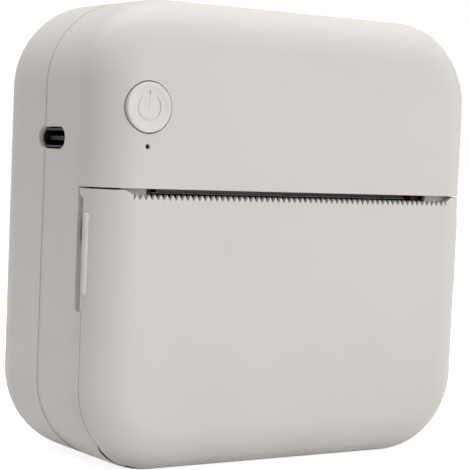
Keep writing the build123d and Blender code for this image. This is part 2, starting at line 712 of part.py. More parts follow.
def spur_wheel(teeth, x, axis, tooth_angle, bore):
    """An involute wheel with one tooth centred on the given angle."""
    r = pitch_r(teeth)
    pressure = radians(PRESSURE_ANGLE)
    base = r * cos(pressure)
    tip, root = r + ADDENDUM * MODULE, r - DEDENDUM * MODULE
    half = (pi / 2 - BACKLASH / MODULE) / teeth + tan(pressure) - pressure
    low = max(base, root)
    flank = []
    for i in range(FLANK_STEPS + 1):
        d = low + (tip - low) * i / FLANK_STEPS
        roll = sqrt(max(d * d / (base * base) - 1, 0))
        flank.append((d, half - (roll - atan2(roll, 1))))
    points = []
    for k in range(teeth):
        middle = radians(tooth_angle) + 2 * pi * k / teeth
        side = [(root, -flank[0][1])] + [(d, -a) for d, a in flank]
        side += [(d, a) for d, a in reversed(flank)] + [(root, flank[0][1])]
        for d, a in side:
            p = (axis[0] + d * cos(middle + a), axis[1] + d * sin(middle + a))
            if not points or hypot(p[0] - points[-1][0], p[1] - points[-1][1]) > PRESS_GAP:
                points.append(p)
    return side_profile(points, x) - rod_x(bore, beyond(x), *axis)


def facing_gap(angle, teeth):
    """Angle of a tooth beside the gap that takes a tooth coming in from the given angle."""
    return angle + 180 + 180 / teeth


def platen_gear():
    x = (LAYER_2, LAYER_2 + PLATEN_GEAR_W)
    to_second = bearing((PLATEN_Y, PLATEN_Z), SECOND_AXIS)
    return spur_wheel(PLATEN_TEETH, x, (PLATEN_Y, PLATEN_Z), to_second, PLATEN_SHAFT_R + PRESS_GAP)


def second_gear():
    bore = AXLE_R + FIT_GAP
    to_second = bearing((PLATEN_Y, PLATEN_Z), SECOND_AXIS)
    angle = facing_gap(to_second, SECOND_SMALL)
    small = spur_wheel(SECOND_SMALL, (LAYER_2, LAYER_3), SECOND_AXIS, angle, bore)
    to_first = bearing(SECOND_AXIS, FIRST_AXIS)
    return small + spur_wheel(SECOND_LARGE, (LAYER_3, LAYER_3 + GEAR_W), SECOND_AXIS, to_first, bore)


def first_gear():
    bore = AXLE_R + FIT_GAP
    to_first = bearing(SECOND_AXIS, FIRST_AXIS)
    x = (LAYER_1, LAYER_1 + GEAR_W)
    angle = facing_gap(to_first, FIRST_SMALL)
    small = spur_wheel(FIRST_SMALL, (x[1], LAYER_3 + GEAR_W), FIRST_AXIS, angle, bore)
    to_motor = bearing(FIRST_AXIS, (MOTOR_Y, MOTOR_Z))
    return small + spur_wheel(FIRST_LARGE, x, FIRST_AXIS, to_motor, bore)


def motor_pinion():
    to_motor = bearing(FIRST_AXIS, (MOTOR_Y, MOTOR_Z))
    x = (LAYER_1, LAYER_1 + GEAR_W)
    angle = facing_gap(to_motor, PINION_TEETH)
    return spur_wheel(PINION_TEETH, x, (MOTOR_Y, MOTOR_Z), angle, MOTOR_SHAFT_R + PRESS_GAP)


def motor_shaft():
    return rod_x(MOTOR_SHAFT_R, (PLATE_X - MOTOR_L + WALL, LAYER_1 + GEAR_W), MOTOR_Y, MOTOR_Z)


def drive_motor():
    """A can motor with two ears that are screwed to the right side plate."""
    can = rod_x(MOTOR_R, (PLATE_X - MOTOR_L, PLATE_X), MOTOR_Y, MOTOR_Z)
    for y, z in motor_ears():
        can += rod_x(MOTOR_EAR_R, (PLATE_X - MOTOR_FLANGE_T, PLATE_X), y, z)
        mid_y, mid_z = (y + MOTOR_Y) / 2, (z + MOTOR_Z) / 2
        neck = Box(MOTOR_FLANGE_T, 2 * MOTOR_EAR_R, MOTOR_EAR_REACH)
        tilt = degrees(atan2(z - MOTOR_Z, y - MOTOR_Y)) - 90
        can += Pos(PLATE_X - MOTOR_FLANGE_T / 2, mid_y, mid_z) * Rot(tilt, 0, 0) * neck
        hole = beyond((PLATE_X - MOTOR_FLANGE_T, PLATE_X))
        can -= rod_x(SMALL_SCREW_R + PRESS_GAP, hole, y, z)
    bore = (PLATE_X - MOTOR_L + WALL - MOVE_GAP, PLATE_X + OVER)
    return can - rod_x(MOTOR_SHAFT_R + FIT_GAP, bore, MOTOR_Y, MOTOR_Z)


def gear_axles():
    return [rod_x(AXLE_R, (PLATE_X, COVER_X + COVER_T), y, z) for y, z in (FIRST_AXIS, SECOND_AXIS)]


def gear_cover():
    """A three-armed plate that holds the outer ends of the axles."""
    x = (COVER_X, COVER_X + COVER_T)
    cover = rod_x(COVER_MIDDLE_R, x, *FIRST_AXIS)
    ends = [(*COVER_POSTS[0], COVER_END_R), (*COVER_POSTS[1], COVER_END_R)]
    ends.append((*SECOND_AXIS, COVER_TIP_R))
    for y, z, r in ends:
        dy, dz = y - FIRST_AXIS[0], z - FIRST_AXIS[1]
        bar = Rot(degrees(atan2(dz, dy)) - 90, 0, 0) * Box(COVER_T, COVER_ARM_W, hypot(dy, dz))
        cover += Pos(sum(x) / 2, y - dy / 2, z - dz / 2) * bar
        cover += rod_x(r, x, y, z)
    for y, z in COVER_POSTS:
        cover -= rod_x(SMALL_SCREW_R + FIT_GAP, beyond(x), y, z)
    for y, z in (FIRST_AXIS, SECOND_AXIS):
        cover -= rod_x(AXLE_R + PRESS_GAP, beyond(x), y, z)
    return cover


def small_screw_x(x, y, z, length):
    """A small screw along X, with its head on the right."""
    shank = rod_x(SMALL_SCREW_R, (x - length, x), y, z)
    return shank + rod_x(SMALL_HEAD_R, (x, x + SMALL_HEAD_T), y, z)


def motor_screws():
    length = PLATE_T + MOTOR_FLANGE_T
    return [small_screw_x(PLATE_OUT_X, y, z, length) for y, z in motor_ears()]


def cover_screws():
    return [small_screw_x(COVER_X + COVER_T, y, z, COVER_T + POST_BITE) for y, z in COVER_POSTS]


def small_screw_y(y, x, z, length):
    """A small screw along Y, with its head at the back."""
    shank = rod_y(SMALL_SCREW_R, (y - length, y), x, z)
    return shank + rod_y(SMALL_HEAD_R, (y, y + SMALL_HEAD_T), x, z)


def frame_screws():
    y = FRAME_Y + LUG_T
    return [small_screw_y(y, x, LUG_Z, LUG_T + LUG_BITE - PRESS_GAP) for x in (-LUG_X, LUG_X)]


def board_screws():
    screws = []
    for x, y in BOARD_SCREWS:
        shank = rod_z(SMALL_SCREW_R, (BOARD_Z - DECK_T, BOARD_TOP_Z), x, y)
        screws.append(shank + rod_z(SMALL_HEAD_R, (BOARD_TOP_Z, BOARD_TOP_Z + SMALL_HEAD_T), x, y))
    return screws


def key_screws():
    y = KEY_BOARD_Y + KEY_BOARD_T
    return [small_screw_y(y, x, z, KEY_BOARD_T + KEY_BITE) for x, z in key_post_places()]


# Electronics
def main_board():
    board = box((BOARD_LEFT_X, BOARD_RIGHT_X), (BOARD_FRONT_Y, BOARD_BACK_Y), (BOARD_Z, BOARD_TOP_Z))
    for x, y in BOARD_SCREWS:
        board -= rod_z(SMALL_SCREW_R + FIT_GAP, beyond((BOARD_Z, BOARD_TOP_Z)), x, y)
    return board


def board_chips():
    chips = []
    for x, y, wide, deep, high in CHIPS:
        chips.append(Pos(x, y, BOARD_TOP_Z + high / 2) * Box(wide, deep, high))
    return chips


def key_board():
    x = (KEY_X - KEY_BOARD_W / 2, KEY_X + KEY_BOARD_W / 2)
    y = (KEY_BOARD_Y, KEY_BOARD_Y + KEY_BOARD_T)
    board = box(x, y, (KEY_Z - KEY_BOARD_LOW, KEY_Z + KEY_BOARD_TOP))
    for post_x, post_z in key_post_places():
        board -= rod_y(SMALL_SCREW_R + FIT_GAP, beyond(y), post_x, post_z)
    return board


def tact_switch():
    half = SWITCH_SIDE / 2
    block = box((KEY_X - half, KEY_X + half), (SWITCH_Y, KEY_BOARD_Y), (KEY_Z - half, KEY_Z + half))
    return block - rod_y(PLUNGER_R + FIT_GAP, (SWITCH_Y - OVER, SWITCH_Y + PLUNGER_ROOM), KEY_X, KEY_Z)


def switch_plunger():
    return rod_y(PLUNGER_R, (PLUNGER_Y, SWITCH_Y + PLUNGER_SEAT), KEY_X, KEY_Z)


def status_led():
    half = LED_SIZE / 2
    y = (BOARD_FRONT_Y, BOARD_FRONT_Y + LED_SIZE)
    return box((KEY_X - half, KEY_X + half), y, (BOARD_TOP_Z, BOARD_TOP_Z + LED_SIZE))


def light_pipe():
    body = rod_y(PIPE_R, (INNER_FRONT_Y, BOARD_FRONT_Y - FIT_GAP), KEY_X, LED_Z)
    return body + rod_y(PIPE_TIP_R, (FRONT_Y + PIPE_RECESS, INNER_FRONT_Y), KEY_X, LED_Z)


def usb_slot(grow, x):
    """The socket's rounded outline, grown by a clearance, between the two ends in x."""
    plane = Plane((x[0], USB_Y, USB_Z), x_dir=(0, 1, 0), z_dir=(1, 0, 0))
    return extrude(plane * SlotOverall(USB_W + 2 * grow, USB_H + 2 * grow), x[1] - x[0])


def usb_shell():
    x = (-WIDTH / 2 + USB_INSET, -WIDTH / 2 + USB_INSET + USB_L)
    return usb_slot(0, x) - usb_slot(-USB_WALL, (x[0] - OVER, x[1] - 2 * USB_WALL))


def usb_tongue():
    mouth = -WIDTH / 2 + USB_INSET
    x = (mouth + TONGUE_INSET, mouth + USB_L - 2 * USB_WALL)
    y = (USB_Y - TONGUE_W / 2, USB_Y + TONGUE_W / 2)
    return box(x, y, (USB_Z - TONGUE_T / 2, USB_Z + TONGUE_T / 2))


def power_button():
    cap = rod_y(BUTTON_R, (FRONT_Y, FRONT_Y + BUTTON_T), KEY_X, KEY_Z)
    cap = fillet(cap.faces().sort_by(Axis.Y)[0].edges(), BUTTON_EDGE_R)
    dish_r = (BUTTON_DISH_R**2 + BUTTON_DISH_DEPTH**2) / (2 * BUTTON_DISH_DEPTH)
    cap -= Pos(KEY_X, FRONT_Y + BUTTON_DISH_DEPTH - dish_r, KEY_Z) * Sphere(dish_r)
    flange = rod_y(BUTTON_FLANGE_R, (INNER_FRONT_Y + MOVE_GAP, STEM_FRONT_Y), KEY_X, KEY_Z)
    cap += flange & rounded_case(WALL + MOVE_GAP)
    cap += rod_y(BUTTON_R, (FRONT_Y + BUTTON_T - OVER, STEM_FRONT_Y), KEY_X, KEY_Z)
    cap += rod_y(BUTTON_STEM_R, (STEM_FRONT_Y - OVER, PLUNGER_Y - FIT_GAP), KEY_X, KEY_Z)
    return cap - power_symbol()


def power_symbol():
    """An open ring with an upright bar in its gap, sunk into the button."""
    y = FRONT_Y + BUTTON_DISH_DEPTH + SYMBOL_DEPTH
    plane = Plane((KEY_X, y, KEY_Z), x_dir=(1, 0, 0), z_dir=(0, -1, 0))
    ring = Circle(SYMBOL_R + SYMBOL_LINE / 2) - Circle(SYMBOL_R - SYMBOL_LINE / 2)
    side = 3 * SYMBOL_R * tan(radians(SYMBOL_GAP_ANGLE))
    ring -= make_face(Polyline((0, 0), (side, 3 * SYMBOL_R), (-side, 3 * SYMBOL_R), close=True))
    bar = Pos(0, SYMBOL_R * 0.75) * Rectangle(SYMBOL_LINE, SYMBOL_R * 1.3)
    return extrude(plane * (ring + bar), OVER)


# Battery
def battery_pack():
    x = (BATTERY_X - BATTERY_W / 2, BATTERY_X + BATTERY_W / 2)
    z = (BATTERY_Z - BATTERY_H / 2, BATTERY_Z + BATTERY_H / 2)
    pack = box(x, (BATTERY_BACK_Y - BATTERY_T, BATTERY_BACK_Y), z)
    return fillet(pack.edges().filter_by(Axis.X), BATTERY_EDGE_R)


def battery_tape():
    x = (BATTERY_X - BATTERY_W / 3, BATTERY_X + BATTERY_W / 3)
    z = (BATTERY_Z - BATTERY_H / 4, BATTERY_Z + BATTERY_H / 4)
    return box(x, (BATTERY_BACK_Y, INNER_BACK_Y), z)


def battery_plug():
    return Pos(PLUG_X, PLUG_Y, BOARD_TOP_Z + PLUG_H / 2) * Box(PLUG_W, PLUG_DEPTH, PLUG_H)


def battery_lead():
    """Two wires from the pack's front face, over the board, down into the plug."""
    wires = []
    back = BATTERY_BACK_Y - BATTERY_T
    low = BOARD_TOP_Z + PLUG_H
    high = low + LEAD_RISE
    for x in (PLUG_X - LEAD_SPACING / 2, PLUG_X + LEAD_SPACING / 2):
        path = FilletPolyline((x, back, high), (x, PLUG_Y, high), (x, PLUG_Y, low), radius=3 * LEAD_R)
        end = Plane((x, back, high), z_dir=(0, -1, 0))
        wires.append(sweep(end * Circle(LEAD_R), path=path))
    return wires


def paper_sensor():
    """A small optical sensor let into the paper guide."""
    lean = paper_lean()
    y, z = polar(BIN_Y, BIN_Z, BIN_R + BIN_WALL + SENSOR_T / 2, lean)
    y, z = polar(y, z, SENSOR_RISE, lean + 90)
    return Pos(0, y, z) * Rot(lean, 0, 0) * Box(SENSOR_W, SENSOR_T, SENSOR_H)


def group(solids):
    return Compound(children=list(solids))


NODES = {
    "front_shell": front_shell,
    "rear_shell": rear_shell,
    "paper_door": paper_door,
    "platen_bushings": platen_bushings,
    "platen_shaft": platen_shaft,
    "platen_roller": platen_roller,
    "platen_gear": platen_gear,
    "door_hinge_pins": hinge_pins,
    "chassis": chassis,
    "paper_roll": paper_roll,
    "paper_core": paper_core,
    "paper_strip": paper_strip,
    "print_head": print_head,
    "heat_sink": heat_sink,
    "head_pivot_pins": head_pins,
    "head_springs": head_springs,
    "first_gear": first_gear,
    "second_gear": second_gear,
    "motor_pinion": motor_pinion,
    "motor_shaft": motor_shaft,
    "drive_motor": drive_motor,
    "gear_axles": gear_axles,
    "gear_cover": gear_cover,
    "motor_screws": motor_screws,
    "cover_screws": cover_screws,
    "frame_screws": frame_screws,
    "board_screws": board_screws,
    "key_screws": key_screws,
    "case_screws": case_screws,
    "main_board": main_board,
    "board_chips": board_chips,
    "key_board": key_board,
    "tact_switch": tact_switch,
    "switch_plunger": switch_plunger,
    "status_led": status_led,
    "light_pipe": light_pipe,
    "usb_shell": usb_shell,
    "usb_tongue": usb_tongue,
    "power_button": power_button,
    "battery_pack": battery_pack,
    "battery_tape": battery_tape,
    "battery_plug": battery_plug,
    "battery_lead": battery_lead,
    "paper_sensor": paper_sensor,
}

for name, make in NODES.items():
    made = make()
    write(name, group(made) if isinstance(made, list) else made)
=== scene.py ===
import json
from math import cos, pi, radians, sin, sqrt

import bmesh
import bpy
from mathutils import Matrix, Vector


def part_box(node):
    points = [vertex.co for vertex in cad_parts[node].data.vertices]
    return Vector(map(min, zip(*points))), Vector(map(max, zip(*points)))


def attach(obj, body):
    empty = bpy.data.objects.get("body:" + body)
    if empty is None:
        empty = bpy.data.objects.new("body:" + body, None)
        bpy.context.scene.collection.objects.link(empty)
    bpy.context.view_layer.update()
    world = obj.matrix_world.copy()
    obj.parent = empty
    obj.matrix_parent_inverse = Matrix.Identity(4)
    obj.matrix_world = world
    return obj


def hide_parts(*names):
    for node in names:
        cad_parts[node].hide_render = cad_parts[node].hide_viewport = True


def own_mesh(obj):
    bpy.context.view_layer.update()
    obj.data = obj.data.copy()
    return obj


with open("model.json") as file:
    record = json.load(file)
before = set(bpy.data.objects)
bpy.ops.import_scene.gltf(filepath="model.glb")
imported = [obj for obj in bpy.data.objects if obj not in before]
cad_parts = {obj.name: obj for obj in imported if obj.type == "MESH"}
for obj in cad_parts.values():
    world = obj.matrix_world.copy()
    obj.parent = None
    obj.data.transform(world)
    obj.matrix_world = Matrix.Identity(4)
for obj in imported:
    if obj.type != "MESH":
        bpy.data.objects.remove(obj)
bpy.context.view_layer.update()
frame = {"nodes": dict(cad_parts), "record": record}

# Portable thermal printer: finishes, fine forms, light and camera. Metres, in the part's own frame.
# X to the right, -Y out of the front, +Z up, origin in the middle of the underside.

MM = 0.001
nodes = frame["nodes"]


def box_of(node):
    low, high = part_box(node)
    return Vector(low), Vector(high)


# Outer size, taken from the frame
SHELL_LOW, SHELL_HIGH = box_of("front_shell")
WIDTH = SHELL_HIGH.x - SHELL_LOW.x
HEIGHT = SHELL_HIGH.z - SHELL_LOW.z
FRONT_Y = SHELL_LOW.y
BACK_Y = box_of("rear_shell")[1].y
MID_Y = (FRONT_Y + BACK_Y) / 2
DEPTH = BACK_Y - FRONT_Y
SEAM_Y = SHELL_HIGH.y

# Modelling: nearer than WELD is one point, nearer than NEAR lies in a plane, a cutting form
# reaches BEYOND what it cuts, and a STEP keeps two faces from lying in one plane
WELD = 1e-7
NEAR = 1e-6
BEYOND = 1.0 * MM
STEP = 0.1 * MM
CORNER_ROWS = 28
EDGE_ROWS = 18
LIP_ROWS = 3
NODE_SHARP = radians(28)
PIECE_SHARP = radians(35)

# Case
CORNER_R = 15.7 * MM
FRONT_EDGE_R = 8.0 * MM
BACK_EDGE_R = 10.5 * MM
WALL = 2.0 * MM
BAND_WIDTH = 1.8 * MM
BAND_DEPTH = 0.18 * MM
LIP_R = 0.08 * MM

# Gaps: between fixed pieces, over the door, at its sides, and round what turns
GAP = 0.2 * MM
TOP_GAP = 0.32 * MM
SIDE_GAP = 0.08 * MM
MOVE_GAP = 0.3 * MM

# Door: its rear edge and top, and its hinge with the lip that turns below it
DOOR_Y = FRONT_Y + 5.1 * MM
DOOR_TOP = 49.7 * MM
HINGE_Z = 5.1 * MM
KNUCKLE_R = 1.5 * MM
PIN_R = 0.8 * MM
TAIL_ANGLE = radians(15)
TAIL_LENGTH = 2.4 * MM
TAIL_OVER = 0.02 * MM
TAIL_REACH = 6.0 * MM

# Slot and teeth; the slot narrows towards the teeth
SLOT_W = 73.0 * MM
SLOT_LOW_W = 70.0 * MM
SLOT_SHOWN = 31.2 * MM
TOOTH_TIP = DOOR_TOP - 0.7 * MM
TOOTH_H = 1.0 * MM
TOOTH_PITCH = 1.2 * MM
TOOTH_T = 0.9 * MM
TOOTH_COUNT = 58
TOOTH_SET_BACK = 0.02 * MM
ROOT_GAP = 0.05 * MM

# The door's ear beside the slot, and its edge beside the groove
EAR_LENGTH = 1.4 * MM
EAR_H = 1.0 * MM
EAR_SLOPE = 0.75
EDGE_SHIFT = 0.42 * MM

# Finger groove with the slit in its floor, and grip rib
GROOVE_DEPTH = 1.4 * MM
GROOVE_W = 1.64 * MM
GROOVE_LOW = 28.4 * MM
GROOVE_HIGH = DOOR_TOP + TOP_GAP - 0.03 * MM
EDGE_LOW = GROOVE_LOW + 0.4 * MM
SLIT_Z = 42.4 * MM
SLIT_H = 3.4 * MM
SLIT_W = 0.5 * MM
SLIT_DEEP = 0.8 * MM
GRIP_R = 0.58 * MM
GRIP_SINK = GRIP_R / 6
GRIP_Z = (32.0 * MM, 45.0 * MM)
GRIP_Y = FRONT_Y + 4.8 * MM

# Platen arms on the door, and the frame's side plates between them
ARM_X = (31.4 * MM, 33.2 * MM)
PLATE_X = (29.3 * MM, 31.1 * MM)
ARM_R = 3.4 * MM
BUSH_R = 2.51 * MM
PLATEN_Y = -13.2 * MM
PLATEN_Z = 45.0 * MM

# Bosses and posts inside the shells, as (X, Z), and the strips that hide what is behind the slot
LOW_BOSS = (35.5 * MM, 12.0 * MM)
HIGH_BOSS = (22.0 * MM, 77.5 * MM)
LUG_BOSS = (24.0 * MM, 62.5 * MM)
LOW_BOSS_FRONT = -9.5 * MM
LUG_BOSS_BACK = -16.4 * MM
BOSS_R = 2.6 * MM
BOSS_RIM = 0.1 * MM
REAR_BOSS_INSET = 0.4 * MM
WEB_T = 2.0 * MM
POST_BORE_R = 0.8 * MM
POST_SINK = 0.2 * MM
STRIP_T = 1.0 * MM
STRIP_RISE = 0.8 * MM
STRIP_SINK = WALL / 4

# Case screws
SCREW_R = 1.0 * MM
SCREW_LENGTH = 10.0 * MM
SCREW_SEAT = 2.0 * MM
SCREW_HEAD_R = 1.8 * MM
SCREW_HEAD_T = 1.3 * MM
SCREW_RIM = 0.3 * MM
CROSS_ARM = 1.1 * MM
CROSS_HALF_W = 0.24 * MM
CROSS_FLOOR = 0.45

# Power button and light hole
KEY_X = -32.5 * MM
KEY_Z = 63.9 * MM
KEY_POST_X = 3.6 * MM
KEY_POST_Z = 6.9 * MM
KEY_POST_R = 1.5 * MM
KEY_POST_BACK = -12.55 * MM
LED_Z = 57.2 * MM
LED_R = 0.46 * MM
BUTTON_R = 4.35 * MM
BUTTON_PROUD = 0.3 * MM
BUTTON_DISH_R = 3.75 * MM
BUTTON_DISH = 0.45 * MM
BUTTON_DISH_STEPS = 12
BUTTON_EDGE_STEPS = 6
BUTTON_EDGE_R = 0.25 * MM
BUTTON_BACK = -17.5 * MM
BUTTON_STEM_R = 1.4 * MM
BUTTON_STEM_BACK = -16.05 * MM
BUTTON_FLANGE_R = 5.3 * MM
SYMBOL_R = 2.2 * MM
SYMBOL_LINE = 0.42 * MM
SYMBOL_DEPTH = 0.06 * MM
SYMBOL_GAP = 1.5
SYMBOL_GAP_R = 3 * SYMBOL_R
SYMBOL_GAP_DEPTH = 8.0 * MM
SYMBOL_BAR = (-0.22 * MM, 2.84 * MM)

# Charging socket
USB_Y = -3.3 * MM
USB_Z = 58.13 * MM
USB_W = 8.94 * MM
USB_H = 3.26 * MM
USB_ROUND = 0.995
USB_ROWS = 12
USB_RIM = 0.3 * MM
USB_FLARE = 0.25 * MM
USB_FLARE_DEPTH = 0.12 * MM
CONTACTS = 12
CONTACT_PITCH = 0.5 * MM
CONTACT_X = (0.25 * MM, 4.2 * MM)
CONTACT_HALF_W = 0.13 * MM
CONTACT_T = 0.02 * MM

# Print head springs
SPRING_LOW = 52.22 * MM
SPRING_HIGH = 58.0 * MM
SPRING_X = 14.0 * MM
SPRING_Y = -12.0 * MM
SPRING_R = 1.65 * MM
SPRING_WIRE_R = 0.225 * MM
SPRING_WIRE_SIDES = 10
SPRING_TURNS = 6
SPRING_STEPS = 28 * SPRING_TURNS

# Middle of the paper roll
ROLL_Y = -1.8 * MM
ROLL_Z = 18.3 * MM

# Floor, surroundings and softboxes: name, place, side of the square, watts
WHITE = (1, 1, 1, 1)
WORLD_LIGHT = 0.30
FLOOR_SIZE = 3.0
FLOOR_COLOUR = (0.65, 0.65, 0.65, 1)
FLOOR_LIFT = 0.86
MIDDLE = (0, 0, HEIGHT / 2)
SOFTBOXES = (
    ("top_light", (0.05, -0.10, 0.60), 0.5, 1.3),
    ("front_light", (0.22, -0.68, 0.28), 0.5, 2.2),
    ("back_light", (-0.16, 0.17, 0.60), 0.5, 2.1),
    ("right_light", (0.62, -0.12, 0.16), 0.4, 0.4),
)

# Camera: turned to the printer's left side, a little above the middle, with a slight roll
CAMERA_YAW = radians(33.716)
CAMERA_PITCH = radians(2.912)
CAMERA_ROLL = radians(2.336)
CAMERA_OFFSET = (0.24 * MM, 311.18 * MM, 0.51 * MM)
FOCAL_PX = 1618.4
PHOTO_PX = 470
SENSOR_MM = 36.0
CLIP_START = 0.01


def add_camera():
    """Looks at the middle of the case, from as far and as far aside as the offset says."""
    turn = Matrix.Rotation(CAMERA_YAW, 3, "Z")
    tip = Matrix.Rotation(CAMERA_PITCH, 3, "X")
    lean = Matrix.Rotation(CAMERA_ROLL, 3, "Y")
    view = lean @ tip @ turn
    right, ahead, up = view[0], view[1], view[2]
    centre = Vector((0, MID_Y, HEIGHT / 2))
    data = bpy.data.cameras.new("camera")
    data.sensor_width = SENSOR_MM
    data.lens = FOCAL_PX / PHOTO_PX * SENSOR_MM
    data.clip_start = CLIP_START
    camera = bpy.data.objects.new("camera", data)
    place = Matrix.Translation(centre - view.transposed() @ Vector(CAMERA_OFFSET))
    camera.matrix_world = place @ Matrix((right, up, -ahead)).transposed().to_4x4()
    bpy.context.scene.collection.objects.link(camera)
    bpy.context.scene.camera = camera


add_camera()


# Effects that several materials share
FINE_TIMES = 3.7


def effect_group(name, inputs, outputs):
    group = bpy.data.node_groups.new(name, "ShaderNodeTree")
    for label, value in inputs:
        socket = group.interface.new_socket(label, in_out="INPUT", socket_type="NodeSocketFloat")
        socket.default_value = value
    for label in outputs:
        group.interface.new_socket(label, in_out="OUTPUT", socket_type="NodeSocketFloat")
    start = group.nodes.new("NodeGroupInput")
    end = group.nodes.new("NodeGroupOutput")
    return group, start, end


def noise_in(group, start, end, label, scale_input, output, detail, vector):
    noise = group.nodes.new("ShaderNodeTexNoise")
    noise.label = label
    noise.inputs["Detail"].default_value = detail
    group.links.new(vector, noise.inputs["Vector"])
    group.links.new(start.outputs[scale_input], noise.inputs["Scale"])
    group.links.new(noise.outputs["Fac"], end.inputs[output])


def moulding_effect():
    """Spark-eroded grain, broad unevenness and faint smudges of handled moulded plastic."""
    inputs = (("Grain per metre", 9000), ("Patches per metre", 45), ("Smudges per metre", 160))
    group, start, end = effect_group("moulding", inputs, ("Grain", "Patches", "Smudges"))
    place = group.nodes.new("ShaderNodeTexCoord").outputs["Object"]
    noise_in(group, start, end, "grain", "Grain per metre", "Grain", 3, place)
    noise_in(group, start, end, "patches", "Patches per metre", "Patches", 2, place)
    noise_in(group, start, end, "smudges", "Smudges per metre", "Smudges", 5, place)
    return group


def stretched_effect():
    """Marks drawn out along one axis, such as turning, rolling and paper fibres."""
    inputs = (("Marks per metre", 900), ("Along X", 1), ("Along Y", 1), ("Along Z", 1))
    group, start, end = effect_group("drawn_marks", inputs, ("Marks", "Fine"))
    place = group.nodes.new("ShaderNodeTexCoord").outputs["Object"]
    stretch = group.nodes.new("ShaderNodeCombineXYZ")
    for axis in "XYZ":
        group.links.new(start.outputs["Along " + axis], stretch.inputs[axis])
    drawn = group.nodes.new("ShaderNodeVectorMath")
    drawn.operation = "MULTIPLY"
    group.links.new(place, drawn.inputs[0])
    group.links.new(stretch.outputs["Vector"], drawn.inputs[1])
    noise_in(group, start, end, "marks", "Marks per metre", "Marks", 4, drawn.outputs["Vector"])
    finer = group.nodes.new("ShaderNodeVectorMath")
    finer.operation = "SCALE"
    finer.inputs["Scale"].default_value = FINE_TIMES
    group.links.new(drawn.outputs["Vector"], finer.inputs[0])
    noise_in(group, start, end, "fine", "Marks per metre", "Fine", 2, finer.outputs["Vector"])
    return group


def winding_effect():
    """Rings round the roll's axis, one for each few turns of paper."""
    group, start, end = effect_group("windings", (("Turns per metre", 2600),), ("Rings",))
    place = group.nodes.new("ShaderNodeTexCoord").outputs["Object"]
    centred = group.nodes.new("ShaderNodeVectorMath")
    centred.operation = "SUBTRACT"
    centred.inputs[1].default_value = (0, ROLL_Y, ROLL_Z)
    group.links.new(place, centred.inputs[0])
    flat = group.nodes.new("ShaderNodeVectorMath")
    flat.operation = "MULTIPLY"
    flat.inputs[1].default_value = (0, 1, 1)
    group.links.new(centred.outputs["Vector"], flat.inputs[0])
    away = group.nodes.new("ShaderNodeVectorMath")
    away.operation = "LENGTH"
    group.links.new(flat.outputs["Vector"], away.inputs[0])
    turns = group.nodes.new("ShaderNodeMath")
    turns.operation = "MULTIPLY"
    group.links.new(away.outputs["Value"], turns.inputs[0])
    group.links.new(start.outputs["Turns per metre"], turns.inputs[1])
    rings = group.nodes.new("ShaderNodeTexNoise")
    rings.noise_dimensions = "1D"
    rings.inputs["Scale"].default_value = 1.0
    rings.inputs["Detail"].default_value = 2
    group.links.new(turns.outputs["Value"], rings.inputs["W"])
    group.links.new(rings.outputs["Fac"], end.inputs["Rings"])
    return group


MOULDING = moulding_effect()
DRAWN_MARKS = stretched_effect()
WINDINGS = winding_effect()


def fresh_material(name):
    material = bpy.data.materials.new(name)
    material.use_nodes = True
    tree = material.node_tree
    return material, tree, tree.nodes["Principled BSDF"]


def add_effect(tree, group, **values):
    node = tree.nodes.new("ShaderNodeGroup")
    node.node_tree = group
    for label, value in values.items():
        node.inputs[label.replace("_", " ")].default_value = value
    return node.outputs


def ranged(tree, value, low, high, start=0.3, end=0.7):
    span = tree.nodes.new("ShaderNodeMapRange")
    span.inputs["From Min"].default_value = start
    span.inputs["From Max"].default_value = end
    span.inputs["To Min"].default_value = low
    span.inputs["To Max"].default_value = high
    tree.links.new(value, span.inputs["Value"])
    return span.outputs["Result"]


def mixed(tree, factor, one, other):
    mix = tree.nodes.new("ShaderNodeMix")
    mix.data_type = "RGBA"
    mix.inputs["A"].default_value = (*one, 1)
    mix.inputs["B"].default_value = (*other, 1)
    tree.links.new(factor, mix.inputs["Factor"])
    return mix.outputs["Result"]


def add_bump(tree, shader, height, depth, under=None):
    bump = tree.nodes.new("ShaderNodeBump")
    bump.inputs["Strength"].default_value = 1.0
    bump.inputs["Distance"].default_value = depth
    tree.links.new(height, bump.inputs["Height"])
    if under:
        tree.links.new(under, bump.inputs["Normal"])
    tree.links.new(bump.outputs["Normal"], shader.inputs["Normal"])
    return bump.outputs["Normal"]


# Materials. A shade is the colour's share in the darker patches, a spread the roughness on
# either side of the middle.
PLASTIC_SHADE = 0.965
PLASTIC_SPREAD = 0.05
METAL_SHADE = 0.84
METAL_SPREAD = (0.07, 0.1)
PAPER_SHADE = 0.93
PAPER_GRAIN = (1, 0.5, 0.5)
PAPER_FIBRES = 2200
PAPER_ROUGH = (0.6, 0.8)
PAPER_GLOSS = 0.25


def colour_in(tree, shader, factor, one, other):
    """The base colour, from one to the other with the factor."""
    tree.links.new(mixed(tree, factor, one, other), shader.inputs["Base Color"])


def roughness_in(tree, shader, factor, low, high):
    """The roughness, from low to high with the factor."""
    tree.links.new(ranged(tree, factor, low, high), shader.inputs["Roughness"])


def plastic(name, colour, rough=0.45, grain=9000, depth=0.0025 * MM, gloss=0.4):
    """Moulded plastic with fine grain, faint patches and slightly glossier smudges."""
    material, tree, shader = fresh_material(name)
    look = add_effect(tree, MOULDING, Grain_per_metre=grain)
    dull = tuple(c * PLASTIC_SHADE for c in colour)
    colour_in(tree, shader, ranged(tree, look["Patches"], 0, 1), colour, dull)
    roughness_in(tree, shader, look["Smudges"], rough - PLASTIC_SPREAD, rough + PLASTIC_SPREAD)
    shader.inputs["Specular IOR Level"].default_value = gloss
    add_bump(tree, shader, look["Grain"], depth)
    return material


